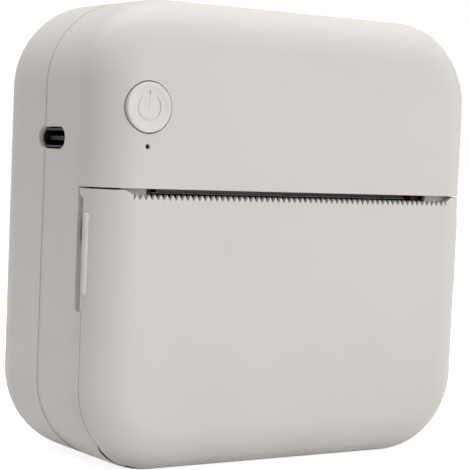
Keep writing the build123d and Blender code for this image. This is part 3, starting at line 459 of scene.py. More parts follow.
def metal(name, colour, rough=0.3, along=(1, 30, 30), marks=900, depth=0.0015 * MM):
    """Drawn, rolled or turned metal, its marks long on the axis with the small number."""
    material, tree, shader = fresh_material(name)
    look = add_effect(tree, DRAWN_MARKS, Marks_per_metre=marks,
                      Along_X=along[0], Along_Y=along[1], Along_Z=along[2])
    dull = tuple(c * METAL_SHADE for c in colour)
    colour_in(tree, shader, ranged(tree, look["Marks"], 0, 1), colour, dull)
    roughness_in(tree, shader, look["Fine"], rough - METAL_SPREAD[0], rough + METAL_SPREAD[1])
    shader.inputs["Metallic"].default_value = 1.0
    add_bump(tree, shader, look["Marks"], depth)
    return material


def paper(name, colour, fibres=PAPER_FIBRES):
    """Matt paper or card with fibres that run along X."""
    material, tree, shader = fresh_material(name)
    look = add_effect(tree, DRAWN_MARKS, Marks_per_metre=fibres,
                      Along_X=PAPER_GRAIN[0], Along_Y=PAPER_GRAIN[1], Along_Z=PAPER_GRAIN[2])
    dull = tuple(c * PAPER_SHADE for c in colour)
    colour_in(tree, shader, ranged(tree, look["Marks"], 0, 1), colour, dull)
    roughness_in(tree, shader, look["Fine"], *PAPER_ROUGH)
    shader.inputs["Specular IOR Level"].default_value = PAPER_GLOSS
    add_bump(tree, shader, look["Marks"], 0.006 * MM)
    return material


def wound_paper():
    """The roll: coated face, and end faces whose tight turns show as rings."""
    material, tree, shader = fresh_material("wound_paper")
    rings = add_effect(tree, WINDINGS)["Rings"]
    fibre = add_effect(tree, DRAWN_MARKS, Marks_per_metre=PAPER_FIBRES)["Marks"]
    face = ranged(tree, rings, 0, 1, 0.35, 0.65)
    colour_in(tree, shader, face, (0.84, 0.84, 0.83), (0.70, 0.695, 0.68))
    shader.inputs["Roughness"].default_value = 0.72
    shader.inputs["Specular IOR Level"].default_value = PAPER_GLOSS
    under = add_bump(tree, shader, rings, 0.05 * MM)
    add_bump(tree, shader, fibre, 0.004 * MM, under)
    return material


def circuit_board():
    """Green solder mask over faint copper tracks that run along X and Y."""
    material, tree, shader = fresh_material("circuit_board")
    tracks = add_effect(tree, DRAWN_MARKS, Marks_per_metre=700, Along_X=0.12)
    copper = ranged(tree, tracks["Marks"], 0, 1, 0.52, 0.56)
    colour_in(tree, shader, copper, (0.012, 0.14, 0.055), (0.03, 0.23, 0.09))
    roughness_in(tree, shader, tracks["Fine"], 0.2, 0.34)
    shader.inputs["Coat Weight"].default_value = 0.4
    add_bump(tree, shader, copper, 0.02 * MM)
    return material


# Finishes: colour and roughness, then how fine and how deep the grain or marks are
LOOKS = {
    "case_plastic": plastic("case_plastic", (0.72, 0.685, 0.655), 0.5, gloss=0.3),
    "button_plastic": plastic("button_plastic", (0.80, 0.765, 0.735), 0.42, gloss=0.35),
    "frame_plastic": plastic("frame_plastic", (0.055, 0.055, 0.056), 0.5, 5000),
    "gear_plastic": plastic("gear_plastic", (0.80, 0.78, 0.72), 0.35, 6000),
    "roller_rubber": plastic("roller_rubber", (0.035, 0.035, 0.036), 0.75, 4000, 0.012 * MM),
    "black_plastic": plastic("black_plastic", (0.008, 0.008, 0.009), 0.5),
    "steel": metal("steel", (0.62, 0.62, 0.63), 0.26),
    "screw_steel": metal("screw_steel", (0.10, 0.10, 0.11), 0.42),
    "aluminium": metal("aluminium", (0.025, 0.025, 0.027), 0.6),
    "foil": metal("foil", (0.62, 0.64, 0.66), 0.35, (6, 1, 6), 400, 0.02 * MM),
    "ceramic": plastic("ceramic", (0.03, 0.022, 0.02), 0.2, 1500, 0.001 * MM),
    "paper": paper("paper", (0.86, 0.86, 0.85)),
    "wound_paper": wound_paper(),
    "card": paper("card", (0.42, 0.33, 0.22), 900),
    "board": circuit_board(),
    "foam": plastic("foam", (0.12, 0.12, 0.12), 0.9, 2500, 0.05 * MM),
    "wire": plastic("wire", (0.45, 0.015, 0.015), 0.35),
    # Painted shade: the clear piece is near-black for the dark inside seen through it in its hole,
    # not its own colour.
    "clear": plastic("clear", (0.006, 0.006, 0.007), 0.3),
    "led": plastic("led", (0.75, 0.74, 0.55), 0.2),
    "gold": metal("gold", (0.85, 0.62, 0.25), 0.25),
}


def dress_nodes():
    """Gives each CAD piece the look of its slot and the roll its own; the socket shell gets the
    dark screw steel as painted shade for the inside of the socket.
    """
    slot_of = {part["node"]: part["material_slot"] for part in frame["record"]["subparts"]}
    for name, node in nodes.items():
        node.data.materials.clear()
        node.data.materials.append(LOOKS[slot_of[name]])
        node.data.polygons.foreach_set("use_smooth", [True] * len(node.data.polygons))
        node.data.set_sharp_from_angle(angle=NODE_SHARP)
    nodes["paper_roll"].data.materials[0] = LOOKS["wound_paper"]
    # Painted shade: the socket shell is darkened to the screw steel so the inside of the socket
    # reads dark, not the shell's own bright steel.
    nodes["usb_shell"].data.materials[0] = LOOKS["screw_steel"]


dress_nodes()


# Modelling tools
def block(low, high):
    """A closed block between two corners."""
    work = bmesh.new()
    bmesh.ops.create_cube(work, size=1.0)
    low, high = Vector(low), Vector(high)
    bmesh.ops.scale(work, vec=high - low, verts=work.verts)
    bmesh.ops.translate(work, vec=(low + high) / 2, verts=work.verts)
    return work


def all_of(work):
    """All of a form's corners, edges and faces, as bmesh operators take them."""
    return work.verts[:] + work.edges[:] + work.faces[:]


def round_edges(work, edges, r, rows):
    """Rounds the edges to a radius, with so many rows of faces."""
    bmesh.ops.bevel(work, geom=list(edges), offset=r, offset_type="OFFSET", affect="EDGES",
                    segments=rows, profile=0.5, material=-1, clamp_overlap=False)


AXIS_TURN = {"X": Matrix.Rotation(pi / 2, 3, "Y"), "Y": Matrix.Rotation(-pi / 2, 3, "X")}


def rod(axis, r, span, at, sides, lip=0.0):
    """A closed cylinder along X or Y between the ends of the span, its rims rounded by the lip."""
    work = bmesh.new()
    bmesh.ops.create_cone(work, cap_ends=True, segments=sides, radius1=r, radius2=r,
                          depth=span[1] - span[0])
    if lip:
        rims = [e for e in work.edges if abs(e.verts[0].co.z - e.verts[1].co.z) < lip]
        round_edges(work, rims, lip, 2)
    bmesh.ops.rotate(work, matrix=AXIS_TURN[axis], verts=work.verts)
    place = [at[0], at[1]]
    place.insert("XYZ".index(axis), sum(span) / 2)
    bmesh.ops.translate(work, vec=place, verts=work.verts)
    return work


def bench_object(work):
    """The form as an object that modifiers can work on."""
    mesh = bpy.data.meshes.new("bench")
    work.to_mesh(mesh)
    work.free()
    piece = bpy.data.objects.new("bench", mesh)
    bpy.context.scene.collection.objects.link(piece)
    return piece


def carved(work, *tools, operation="DIFFERENCE"):
    """The form with closed tools cut from it, added to it or kept in common with it."""
    target = bench_object(work)
    used = [bench_object(tool) for tool in tools]
    for tool in used:
        cut = target.modifiers.new("cut", "BOOLEAN")
        cut.solver = "EXACT"
        cut.operation = operation
        cut.object = tool
    bpy.context.view_layer.update()
    evaluated = target.evaluated_get(bpy.context.evaluated_depsgraph_get())
    finished = bpy.data.meshes.new_from_object(evaluated)
    result = bmesh.new()
    result.from_mesh(finished)
    bmesh.ops.dissolve_degenerate(result, dist=WELD, edges=result.edges)
    for piece in (target, *used):
        mesh = piece.data
        bpy.data.objects.remove(piece)
        bpy.data.meshes.remove(mesh)
    bpy.data.meshes.remove(finished)
    return result


def with_parts(work, *others):
    """One form that also holds the others, each closed in itself."""
    for other in others:
        mesh = bpy.data.meshes.new("bench")
        other.to_mesh(mesh)
        other.free()
        work.from_mesh(mesh)
        bpy.data.meshes.remove(mesh)
    return work


def both_sides(work):
    """The form together with its mirror image on the printer's other side."""
    bmesh.ops.mirror(work, geom=all_of(work), axis="X")
    bmesh.ops.recalc_face_normals(work, faces=work.faces)
    return work


def plane_at(axis, place):
    """A plane square to an axis, as a point and a normal."""
    normal = Vector([float(axis == letter) for letter in "XYZ"])
    return normal * place, normal


def trimmed(work, planes, keep):
    """The surface split along the planes, less the faces whose middle fails the test."""
    for point, normal in planes:
        bmesh.ops.bisect_plane(work, geom=all_of(work), dist=WELD, plane_co=point, plane_no=normal)
    spare = [face for face in work.faces if not keep(face.calc_center_median())]
    bmesh.ops.delete(work, geom=spare, context="FACES")
    return work


def open_loops(work):
    """The loops of open edges, each as a list."""
    left = {edge for edge in work.edges if edge.is_boundary}
    loops = []
    while left:
        loop, ends = [], [left.pop()]
        while ends:
            edge = ends.pop()
            loop.append(edge)
            for vert in edge.verts:
                for near in vert.link_edges:
                    if near in left:
                        left.remove(near)
                        ends.append(near)
        loops.append(loop)
    return loops


def middle_of(loop):
    """The mean place of the corners of some edges."""
    corners = {vert for edge in loop for vert in edge.verts}
    return sum((vert.co for vert in corners), Vector()) / len(corners)


def add_surface(work, other, turned=False):
    """Adds an open surface, turned inside out if asked, and gives its open loops."""
    if turned:
        bmesh.ops.reverse_faces(other, faces=other.faces)
    before = set(work.edges)
    with_parts(work, other)
    return [loop for loop in open_loops(work) if loop[0] not in before]


def bridge_nearest(work, loops, others):
    """Joins each open loop with the nearest of the others by a band of faces."""
    for loop in loops:
        other = min(others, key=lambda rim: (middle_of(rim) - middle_of(loop)).length)
        bmesh.ops.bridge_loops(work, edges=loop + other)


def add_piece(name, work, look, slot, body, *replaced):
    """A finished piece that rides on a body and stands for the CAD nodes it replaces."""
    mesh = bpy.data.meshes.new(name)
    work.to_mesh(mesh)
    work.free()
    mesh.materials.append(LOOKS[look])
    mesh.polygons.foreach_set("use_smooth", [True] * len(mesh.polygons))
    mesh.set_sharp_from_angle(angle=PIECE_SHARP)
    piece = bpy.data.objects.new(name, mesh)
    bpy.context.scene.collection.objects.link(piece)
    even = piece.modifiers.new("even_shading", "WEIGHTED_NORMAL")
    even.keep_sharp = True
    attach(piece, body)
    if replaced:
        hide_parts(*replaced)
    return piece


# Case
def case_form(inset=0.0):
    """The outer form of the case, or the same form inset all round."""
    low = Vector((-WIDTH / 2 + inset, FRONT_Y + inset, inset))
    high = Vector((WIDTH / 2 - inset, BACK_Y - inset, HEIGHT - inset))
    work = block(low, high)
    along_y = [e for e in work.edges if abs(e.verts[0].co.y - e.verts[1].co.y) > DEPTH / 2]
    round_edges(work, along_y, CORNER_R - inset, CORNER_ROWS)
    for y, r in ((low.y, FRONT_EDGE_R - inset), (high.y, BACK_EDGE_R - inset)):
        rim = [e for e in work.edges if all(abs(v.co.y - y) < NEAR for v in e.verts)]
        round_edges(work, rim, r, EDGE_ROWS)
    return work


def hinge_sweep(grow):
    """The round space that the door's lower edge turns through."""
    work = case_form(-grow)
    for point, normal in (plane_at("Z", HINGE_Z), plane_at("Y", DOOR_Y)):
        bmesh.ops.bisect_plane(work, geom=all_of(work), dist=WELD, plane_co=point, plane_no=normal,
                               clear_outer=True, clear_inner=normal.z > 0)
    geom = work.verts[:] + work.edges[:]
    bmesh.ops.spin(work, geom=geom, cent=(0, DOOR_Y, HINGE_Z), axis=(1, 0, 0), angle=2 * pi,
                   steps=96, use_merge=True)
    bmesh.ops.remove_doubles(work, verts=work.verts, dist=NEAR)
    bmesh.ops.recalc_face_normals(work, faces=work.faces)
    return work


# The ear is the part of the door's upper corner that reaches back behind the door's rear edge
def ear_corner(grow):
    """The ear's lower rear corner, with the gap round it if one is given."""
    return DOOR_Y + EAR_LENGTH + grow, DOOR_TOP - EAR_H - grow


def ear_planes(grow):
    back, low = ear_corner(grow)
    slant = Vector((0, -EAR_SLOPE, 1)).normalized()
    return [plane_at("Y", back), (Vector((0, back, low)), slant)]


def in_ear(place, grow):
    back, low = ear_corner(grow)
    return place.y < back and place.z > low + (place.y - back) * EAR_SLOPE


# Shells
def shell_walls(planes, keep, rounded):
    """The case's outer and inner surface as far as the test keeps them, joined at the rims."""
    work = bmesh.new()
    rims = add_surface(work, trimmed(case_form(), planes, keep))
    inner_rims = add_surface(work, trimmed(case_form(WALL), planes, keep), turned=True)
    bridge_nearest(work, rims, inner_rims)
    lips = [edge for rim in rims for edge in rim if rounded(middle_of([edge]))]
    round_edges(work, lips, LIP_R, LIP_ROWS)
    bmesh.ops.recalc_face_normals(work, faces=work.faces)
    return work


def side_groove_tool():
    """The finger groove beside the door, with its round lower end, and the slit in its floor."""
    span = (WIDTH / 2 - GROOVE_DEPTH, WIDTH / 2 + BEYOND)
    back = DOOR_Y + GROOVE_W
    low = GROOVE_LOW + GROOVE_W / 2
    tall = block((span[0], DOOR_Y - GAP, low), (span[1], back, GROOVE_HIGH))
    end = rod("X", GROOVE_W / 2, span, (back - GROOVE_W / 2, low), 32)
    slit = block((WIDTH / 2 - 2 * WALL, DOOR_Y + EDGE_SHIFT, SLIT_Z - SLIT_H / 2),
                 (WIDTH / 2 - SLIT_DEEP, back + SLIT_W, SLIT_Z + SLIT_H / 2))
    return both_sides(carved(tall, end, slit, operation="UNION"))


def socket_outline(grow, span):
    """The charging socket's rounded outline as a closed form along X."""
    half_w, half_h = USB_W / 2 + grow, USB_H / 2 + grow
    work = block((span[0], USB_Y - half_w, USB_Z - half_h),
                 (span[1], USB_Y + half_w, USB_Z + half_h))
    along_x = [e for e in work.edges if abs(e.verts[0].co.x - e.verts[1].co.x) > NEAR]
    round_edges(work, along_x, half_h * USB_ROUND, USB_ROWS)
    return work


def socket_tool():
    """The opening for the socket, with a small chamfer at the mouth."""
    side = -WIDTH / 2
    through = socket_outline(USB_RIM, (side - BEYOND, side + WALL + BEYOND))
    flare = socket_outline(USB_RIM + USB_FLARE, (side - BEYOND, side + USB_FLARE_DEPTH))
    return carved(through, flare, operation="UNION")


def beyond(span):
    """The span made longer at both ends, for a form that cuts right through."""
    return span[0] - BEYOND, span[1] + BEYOND


def post(r, bore, span, at):
    """A bored post along Y for a screw or a pin."""
    hole = rod("Y", bore, beyond(span), at, 40)
    return carved(rod("Y", r, span, at, 40, BOSS_RIM), hole)


def front_bosses(edge):
    """The posts in the front shell, and the strips that close the view through the slot."""
    inside = FRONT_Y + WALL
    slot_end = SLOT_W / 2 - GAP
    arm_top = PLATEN_Z + ARM_R + GAP
    return both_sides(with_parts(
        post(BOSS_R, SCREW_R, (inside, SEAM_Y), HIGH_BOSS),
        post(BOSS_R, SCREW_R, (LOW_BOSS_FRONT, SEAM_Y), LOW_BOSS),
        post(BOSS_R, POST_BORE_R, (inside - POST_SINK, LUG_BOSS_BACK), LUG_BOSS),
        block((LOW_BOSS[0] + BOSS_R, LOW_BOSS_FRONT, LOW_BOSS[1] - WEB_T / 2),
              (WIDTH / 2 - WALL / 2, SEAM_Y - STEP, LOW_BOSS[1] + WEB_T / 2)),
        block((SLOT_SHOWN, inside + GAP, arm_top), (slot_end, inside + STRIP_T, edge + STRIP_RISE)),
        block((ARM_X[1] + GAP, inside + GAP, TOOTH_TIP - TOOTH_H - GAP),
              (slot_end, inside + STRIP_T, arm_top + GAP)),
        block((SLOT_SHOWN, inside - STRIP_SINK, edge),
              (slot_end, inside + STRIP_T, edge + STRIP_RISE))))


def key_posts():
    """The two posts that carry the key board behind the power button."""
    span = (FRONT_Y + WALL - POST_SINK, KEY_POST_BACK)
    places = [(KEY_X + side * KEY_POST_X, KEY_Z + side * KEY_POST_Z) for side in (-1, 1)]
    return [post(KEY_POST_R, POST_BORE_R, span, place) for place in places]


def front_shell():
    """The front half of the case round the door, with openings for what shows through it."""
    edge = DOOR_TOP + TOP_GAP
    door_back = DOOR_Y + SIDE_GAP
    planes = [plane_at("Y", SEAM_Y), plane_at("Y", door_back),
              plane_at("Y", door_back + EDGE_SHIFT), plane_at("Z", EDGE_LOW), plane_at("Z", edge),
              *ear_planes(SIDE_GAP)]

    def keep(place):
        if place.y > SEAM_Y:
            return False
        back = door_back + (EDGE_SHIFT if place.z > EDGE_LOW else 0)
        return place.z > edge or (place.y > back and not in_ear(place, SIDE_GAP))

    def clear_of_groove(place):
        return abs(place.x) < WIDTH / 2 - 2 * WALL or place.y > DOOR_Y + 2 * GROOVE_W

    mouth = beyond((FRONT_Y, FRONT_Y + WALL))
    work = carved(shell_walls(planes, keep, clear_of_groove),
                  hinge_sweep(SIDE_GAP), side_groove_tool(), socket_tool(),
                  rod("Y", BUTTON_R + GAP, mouth, (KEY_X, KEY_Z), 96),
                  rod("Y", LED_R, mouth, (KEY_X, LED_Z), 32))
    return with_parts(work, front_bosses(edge), *key_posts())


def screw_well(place):
    return rod("Y", SCREW_HEAD_R + GAP, (SCREW_SEAT, BACK_Y + BEYOND), place, 48)


def rear_shell():
    """The rear half of the case, with the shallow band behind the seam and the screw wells."""
    band_back = SEAM_Y + BAND_WIDTH
    seam, band_end = plane_at("Y", SEAM_Y), plane_at("Y", band_back)
    work = bmesh.new()
    outer = add_surface(work, trimmed(case_form(), [band_end], lambda p: p.y > band_back))
    band = trimmed(case_form(BAND_DEPTH), [seam, band_end], lambda p: SEAM_Y < p.y < band_back)
    band_rims = sorted(add_surface(work, band), key=lambda rim: middle_of(rim).y)
    lining = trimmed(case_form(WALL), [seam], lambda p: p.y > SEAM_Y)
    inner = add_surface(work, lining, turned=True)
    bridge_nearest(work, outer, band_rims[1:])
    bridge_nearest(work, inner, band_rims[:1])
    round_edges(work, outer[0] + band_rims[0], LIP_R, LIP_ROWS)
    bmesh.ops.recalc_face_normals(work, faces=work.faces)
    wells = []
    bosses = bmesh.new()
    for place in (LOW_BOSS, HIGH_BOSS):
        boss = rod("Y", BOSS_R, (SEAM_Y, BACK_Y), place, 48)
        boss = carved(boss, case_form(REAR_BOSS_INSET), operation="INTERSECT")
        bore = rod("Y", SCREW_R, (SEAM_Y - BEYOND, BACK_Y), place, 48)
        with_parts(bosses, carved(boss, screw_well(place), bore))
        wells.append(both_sides(screw_well(place)))
    return with_parts(carved(work, socket_tool(), *wells), both_sides(bosses))


# Door
def tear_teeth():
    """The saw edge that tears the paper: a strip whose upper edge zigzags, given a thickness."""
    work = bmesh.new()
    bmesh.ops.create_grid(work, x_segments=2 * TOOTH_COUNT, y_segments=1, size=0.5)
    length = TOOTH_COUNT * TOOTH_PITCH
    bmesh.ops.scale(work, vec=(length, 2 * TOOTH_H, 1), verts=work.verts)
    bmesh.ops.rotate(work, matrix=Matrix.Rotation(pi / 2, 3, "X"), verts=work.verts)
    place = (0, FRONT_Y + TOOTH_SET_BACK, TOOTH_TIP - TOOTH_H)
    bmesh.ops.translate(work, vec=place, verts=work.verts)
    for vert in work.verts:
        step = round((vert.co.x + length / 2) / TOOTH_PITCH * 2)
        if vert.co.z > TOOTH_TIP - TOOTH_H / 2 and step % 2 == 0:
            vert.co.z -= TOOTH_H
    deep = bmesh.ops.extrude_face_region(work, geom=work.faces[:])["geom"]
    back = [item for item in deep if isinstance(item, bmesh.types.BMVert)]
    bmesh.ops.translate(work, vec=(0, TOOTH_T, 0), verts=back)
    bmesh.ops.recalc_face_normals(work, faces=work.faces)
    return work


def grip_rib():
    """A bar with round ends on the door's rounded side."""
    drop = FRONT_EDGE_R - (GRIP_Y - FRONT_Y)
    x = WIDTH / 2 - FRONT_EDGE_R + sqrt(FRONT_EDGE_R**2 - drop**2) - GRIP_SINK
    work = bmesh.new()
    bmesh.ops.create_uvsphere(work, u_segments=28, v_segments=16, radius=GRIP_R)
    upper = [vert for vert in work.verts if vert.co.z > NEAR]
    bmesh.ops.translate(work, vec=(0, 0, GRIP_Z[1] - GRIP_Z[0]), verts=upper)
    bmesh.ops.translate(work, vec=(x, GRIP_Y, GRIP_Z[0]), verts=work.verts)
    return work


def eye(bar, r, bore, at, sides, bore_sides):
    """A bar with a bored round end about the place."""
    end = rod("X", r, ARM_X, at, sides)
    hole = rod("X", bore, beyond(ARM_X), at, bore_sides)
    return carved(carved(bar, end, operation="UNION"), hole)


def door_arm():
    """The arm that carries one end of the platen."""
    bar = block((ARM_X[0], FRONT_Y + WALL / 2, PLATEN_Z - ARM_R),
                (ARM_X[1], PLATEN_Y, PLATEN_Z + ARM_R))
    return eye(bar, ARM_R, BUSH_R, (PLATEN_Y, PLATEN_Z), 56, 48)


def door_knuckle():
    """The round end on the hinge pin, with the web that joins it to the door's wall."""
    web = block((ARM_X[0], FRONT_Y + WALL / 2, WALL / 2),
                (ARM_X[1], DOOR_Y, HINGE_Z + KNUCKLE_R))
    web = carved(web, case_form(WALL / 2), operation="INTERSECT")
    return eye(web, KNUCKLE_R, PIN_R, (DOOR_Y, HINGE_Z), 40, 32)


def tail_limit():
    """What lies behind the door's lower lip: all that its edge doesn't turn through."""
    below = block((-WIDTH, DOOR_Y - SIDE_GAP, -TAIL_REACH),
                  (WIDTH, DOOR_Y + TAIL_REACH, HINGE_Z + TAIL_OVER))
    wedge = block((-2 * WIDTH, DOOR_Y - 3 * TAIL_REACH, HINGE_Z - 3 * TAIL_REACH),
                  (2 * WIDTH, DOOR_Y, HINGE_Z))
    turn = Matrix.Rotation(TAIL_ANGLE, 3, "X")
    bmesh.ops.rotate(wedge, cent=(0, DOOR_Y, HINGE_Z), matrix=turn, verts=wedge.verts)
    lip = carved(hinge_sweep(0), wedge, operation="INTERSECT")
    return carved(below, lip)


def slot_tool():
    """The slot over the teeth, narrower at its lower edge."""
    slot = block((-SLOT_W / 2, FRONT_Y - BEYOND, TOOTH_TIP),
                 (SLOT_W / 2, DOOR_Y + BEYOND, DOOR_TOP + STEP))
    lower = [vert for vert in slot.verts if vert.co.z < TOOTH_TIP + STEP]
    bmesh.ops.scale(slot, vec=(SLOT_LOW_W / SLOT_W, 1, 1), verts=lower)
    return slot


def root_tool():
    """The room that the strip of teeth fills in the door's upper edge."""
    half = TOOTH_COUNT * TOOTH_PITCH / 2 + ROOT_GAP
    return block((-half, FRONT_Y - BEYOND, TOOTH_TIP - TOOTH_H - ROOT_GAP),
                 (half, DOOR_Y + BEYOND, TOOTH_TIP + BEYOND))


def paper_door():
    """The door with its teeth, lower lip, grip ribs, platen arms and hinge knuckles."""
    tail_back = DOOR_Y + TAIL_LENGTH
    edge_back = DOOR_Y + EDGE_SHIFT
    planes = [plane_at("Y", DOOR_Y), plane_at("Y", edge_back), plane_at("Y", tail_back),
              plane_at("Z", DOOR_TOP), plane_at("Z", HINGE_Z), plane_at("Z", EDGE_LOW),
              *ear_planes(0)]

    def keep(place):
        if place.z > DOOR_TOP:
            return False
        ahead = tail_back if place.z < HINGE_Z else DOOR_Y if place.z < EDGE_LOW else edge_back
        return place.y < ahead or in_ear(place, 0)

    work = shell_walls(planes, keep, lambda place: True)
    span = (PLATE_X[0] - MOVE_GAP, PLATE_X[1] + MOVE_GAP)
    relief = block((span[0], DOOR_Y, -BEYOND), (span[1], DOOR_Y + TAIL_REACH, HINGE_Z + BEYOND))
    knuckle_room = rod("X", KNUCKLE_R + MOVE_GAP, span, (DOOR_Y, HINGE_Z), 40)
    work = carved(work, tail_limit(), slot_tool(), root_tool(), both_sides(relief),
                  both_sides(knuckle_room))
    work = carved(work, tear_teeth(), operation="UNION")
    bmesh.ops.holes_fill(work, edges=[edge for edge in work.edges if edge.is_boundary], sides=0)
    sides = with_parts(door_arm(), door_knuckle(), grip_rib())
    return with_parts(work, both_sides(sides))


# Power button
def button_cap():
    """The cap turned about its own axis: shallow dish, soft rim, straight side and stem."""
    profile = [(0.0, BUTTON_DISH - BUTTON_PROUD)]
    for step in range(1, BUTTON_DISH_STEPS + 1):
        r = BUTTON_DISH_R * step / BUTTON_DISH_STEPS
        profile.append((r, BUTTON_DISH * (1 - (r / BUTTON_DISH_R) ** 3) - BUTTON_PROUD))
    for step in range(BUTTON_EDGE_STEPS + 1):
        turn = pi / 2 * step / BUTTON_EDGE_STEPS
        profile.append((BUTTON_R - BUTTON_EDGE_R * (1 - sin(turn)),
                        BUTTON_EDGE_R * (1 - cos(turn)) - BUTTON_PROUD))
    back = BUTTON_BACK - FRONT_Y
    stem_back = BUTTON_STEM_BACK - FRONT_Y
    profile += [(BUTTON_R, back), (BUTTON_STEM_R, back), (BUTTON_STEM_R, stem_back),
                (0.0, stem_back)]
    work = bmesh.new()
    line = [work.verts.new((KEY_X + r, FRONT_Y + y, KEY_Z)) for r, y in profile]
    edges = [work.edges.new(pair) for pair in zip(line, line[1:])]
    bmesh.ops.spin(work, geom=line + edges, cent=(KEY_X, FRONT_Y, KEY_Z), axis=(0, 1, 0),
                   angle=2 * pi, steps=96, use_merge=True)
    bmesh.ops.remove_doubles(work, verts=work.verts, dist=WELD)
    bmesh.ops.recalc_face_normals(work, faces=work.faces)
    return work


def symbol_tool():
    """An open ring with an upright bar in its gap. The gap is a wedge from the ring's middle."""
    at = (KEY_X, KEY_Z)
    span = (FRONT_Y - BEYOND, FRONT_Y - BUTTON_PROUD + BUTTON_DISH + SYMBOL_DEPTH)
    ring = rod("Y", SYMBOL_R + SYMBOL_LINE / 2, span, at, 64)
    core = rod("Y", SYMBOL_R - SYMBOL_LINE / 2, beyond(span), at, 64)
    gap = bmesh.new()
    bmesh.ops.create_cone(gap, cap_ends=True, segments=3, radius1=SYMBOL_GAP_R,
                          radius2=SYMBOL_GAP_R, depth=SYMBOL_GAP_DEPTH)
    bmesh.ops.rotate(gap, matrix=Matrix.Rotation(-pi / 2, 3, "X"), verts=gap.verts)
    bmesh.ops.scale(gap, vec=(SYMBOL_GAP, 1, 1), verts=gap.verts)
    bmesh.ops.translate(gap, vec=(KEY_X, span[0], KEY_Z + SYMBOL_GAP_R), verts=gap.verts)
    bar = block((KEY_X - SYMBOL_LINE / 2, span[0], KEY_Z + SYMBOL_BAR[0]),
                (KEY_X + SYMBOL_LINE / 2, span[1], KEY_Z + SYMBOL_BAR[1]))
    return with_parts(carved(ring, core, gap), bar)


def power_button():
    """The cap with its symbol, and the flange that holds it behind the shell."""
    span = (FRONT_Y + WALL + MOVE_GAP, BUTTON_BACK)
    flange = rod("Y", BUTTON_FLANGE_R, span, (KEY_X, KEY_Z), 64)
    flange = carved(flange, case_form(WALL + MOVE_GAP), operation="INTERSECT")
    return with_parts(carved(button_cap(), symbol_tool()), flange)


# Small pieces
def case_screws():
    """Pan-head screws with a cross recess, down the wells in the back."""
    work = bmesh.new()
    for x, z in (LOW_BOSS, HIGH_BOSS):
        span = (SCREW_SEAT, SCREW_SEAT + SCREW_HEAD_T)
        head = rod("Y", SCREW_HEAD_R, span, (x, z), 40, SCREW_RIM)
        floor, top = SCREW_SEAT + SCREW_HEAD_T * CROSS_FLOOR, SCREW_SEAT + 2 * SCREW_HEAD_T
        cross = [block((x - across, floor, z - upright), (x + across, top, z + upright))
                 for across, upright in ((CROSS_ARM, CROSS_HALF_W), (CROSS_HALF_W, CROSS_ARM))]
        shank = rod("Y", SCREW_R, (SCREW_SEAT - SCREW_LENGTH, SCREW_SEAT + STEP), (x, z), 24)
        with_parts(work, carved(head, *cross), shank)
    return both_sides(work)


def head_springs():
    """Two coils of round wire that press the print head on the platen."""
    work = bmesh.new()
    rise = SPRING_HIGH - SPRING_LOW - 2 * SPRING_WIRE_R
    ring = bmesh.ops.create_circle(work, segments=SPRING_WIRE_SIDES, radius=SPRING_WIRE_R)["verts"]
    bmesh.ops.rotate(work, matrix=Matrix.Rotation(pi / 2, 3, "X"), verts=ring)
    foot = (SPRING_X + SPRING_R, SPRING_Y, SPRING_LOW + SPRING_WIRE_R)
    bmesh.ops.translate(work, vec=foot, verts=ring)
    bmesh.ops.spin(work, geom=work.verts[:] + work.edges[:], cent=(SPRING_X, SPRING_Y, 0),
                   axis=(0, 0, 1), dvec=(0, 0, rise / SPRING_STEPS),
                   angle=2 * pi * SPRING_TURNS, steps=SPRING_STEPS)
    ends = [edge for edge in work.edges if edge.is_boundary]
    bmesh.ops.holes_fill(work, edges=ends, sides=SPRING_WIRE_SIDES)
    bmesh.ops.recalc_face_normals(work, faces=work.faces)
    return both_sides(work)


def socket_contacts():
    """The thin gilt strips on both faces of the socket's tongue."""
    tongue_low, tongue_high = box_of("usb_tongue")
    near, far = (tongue_low.x + x for x in CONTACT_X)
    work = bmesh.new()
    for z in (tongue_low.z, tongue_high.z):
        for k in range(CONTACTS):
            y = USB_Y + (k - (CONTACTS - 1) / 2) * CONTACT_PITCH
            strip = block((near, y - CONTACT_HALF_W, z - CONTACT_T),
                          (far, y + CONTACT_HALF_W, z + CONTACT_T))
            with_parts(work, strip)
    return work


# The dressed pieces
add_piece("front_case", front_shell(), "case_plastic", "case_plastic", "case", "front_shell")
add_piece("rear_case", rear_shell(), "case_plastic", "case_plastic", "case", "rear_shell")
add_piece("door_panel", paper_door(), "case_plastic", "case_plastic", "door", "paper_door")
add_piece("button_cap", power_button(), "button_plastic", "button_plastic", "button",
          "power_button")
add_piece("shell_screws", case_screws(), "screw_steel", "screw_steel", "case", "case_screws")
coils = add_piece("head_coils", head_springs(), "steel", "steel", "case", "head_springs")
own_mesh(coils)
add_piece("socket_contacts", socket_contacts(), "gold", "steel", "case")


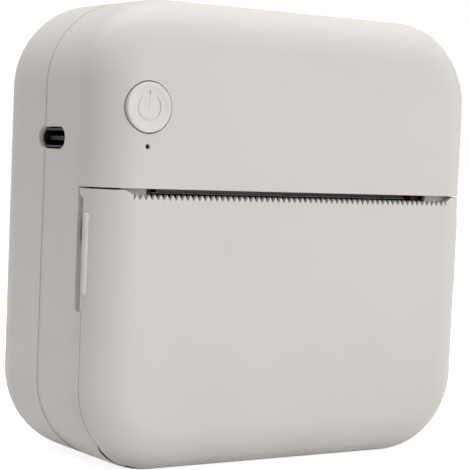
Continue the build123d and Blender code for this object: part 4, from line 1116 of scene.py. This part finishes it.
# Floor and light
def floor_material():
    """Matt white that the camera and reflections see lifted to white, with the shadow kept."""
    material, tree, shader = fresh_material("floor")
    shader.inputs["Base Color"].default_value = FLOOR_COLOUR
    shader.inputs["Roughness"].default_value = 0.9
    shader.inputs["Specular IOR Level"].default_value = 0.1
    rays = tree.nodes.new("ShaderNodeLightPath")
    seen = tree.nodes.new("ShaderNodeMath")
    seen.operation = "MAXIMUM"
    tree.links.new(rays.outputs["Is Camera Ray"], seen.inputs[0])
    tree.links.new(rays.outputs["Is Glossy Ray"], seen.inputs[1])
    lift = tree.nodes.new("ShaderNodeMath")
    lift.operation = "MULTIPLY"
    lift.inputs[1].default_value = FLOOR_LIFT
    tree.links.new(seen.outputs["Value"], lift.inputs[0])
    tree.links.new(lift.outputs["Value"], shader.inputs["Emission Strength"])
    shader.inputs["Emission Color"].default_value = WHITE
    return material


def add_floor():
    work = bmesh.new()
    bmesh.ops.create_grid(work, x_segments=1, y_segments=1, size=FLOOR_SIZE)
    mesh = bpy.data.meshes.new("floor")
    work.to_mesh(mesh)
    work.free()
    floor = bpy.data.objects.new("floor", mesh)
    bpy.context.scene.collection.objects.link(floor)
    mesh.materials.append(floor_material())


def add_softbox(name, place, side, watts):
    """A square area lamp that faces the middle of the printer."""
    data = bpy.data.lights.new(name, "AREA")
    data.shape = "RECTANGLE"
    data.size = data.size_y = side
    data.energy = watts
    lamp = bpy.data.objects.new(name, data)
    lamp.location = place
    lamp.rotation_euler = (Vector(MIDDLE) - Vector(place)).to_track_quat("-Z", "Y").to_euler()
    bpy.context.scene.collection.objects.link(lamp)


def add_world():
    """White to the camera, and a plain dimmer grey as light."""
    world = bpy.data.worlds.new("studio")
    world.use_nodes = True
    tree = world.node_tree
    light = tree.nodes["Background"]
    light.inputs["Color"].default_value = WHITE
    light.inputs["Strength"].default_value = WORLD_LIGHT
    seen = tree.nodes.new("ShaderNodeBackground")
    seen.inputs["Color"].default_value = WHITE
    seen.inputs["Strength"].default_value = 1.0
    rays = tree.nodes.new("ShaderNodeLightPath")
    shown = tree.nodes.new("ShaderNodeMath")
    shown.operation = "MAXIMUM"
    tree.links.new(rays.outputs["Is Camera Ray"], shown.inputs[0])
    tree.links.new(rays.outputs["Is Transmission Ray"], shown.inputs[1])
    pick = tree.nodes.new("ShaderNodeMixShader")
    tree.links.new(shown.outputs["Value"], pick.inputs["Fac"])
    tree.links.new(light.outputs["Background"], pick.inputs[1])
    tree.links.new(seen.outputs["Background"], pick.inputs[2])
    tree.links.new(pick.outputs["Shader"], tree.nodes["World Output"].inputs["Surface"])
    bpy.context.scene.world = world


add_floor()
add_world()
for softbox in SOFTBOXES:
    add_softbox(*softbox)
bpy.context.scene.view_settings.view_transform = "Standard"
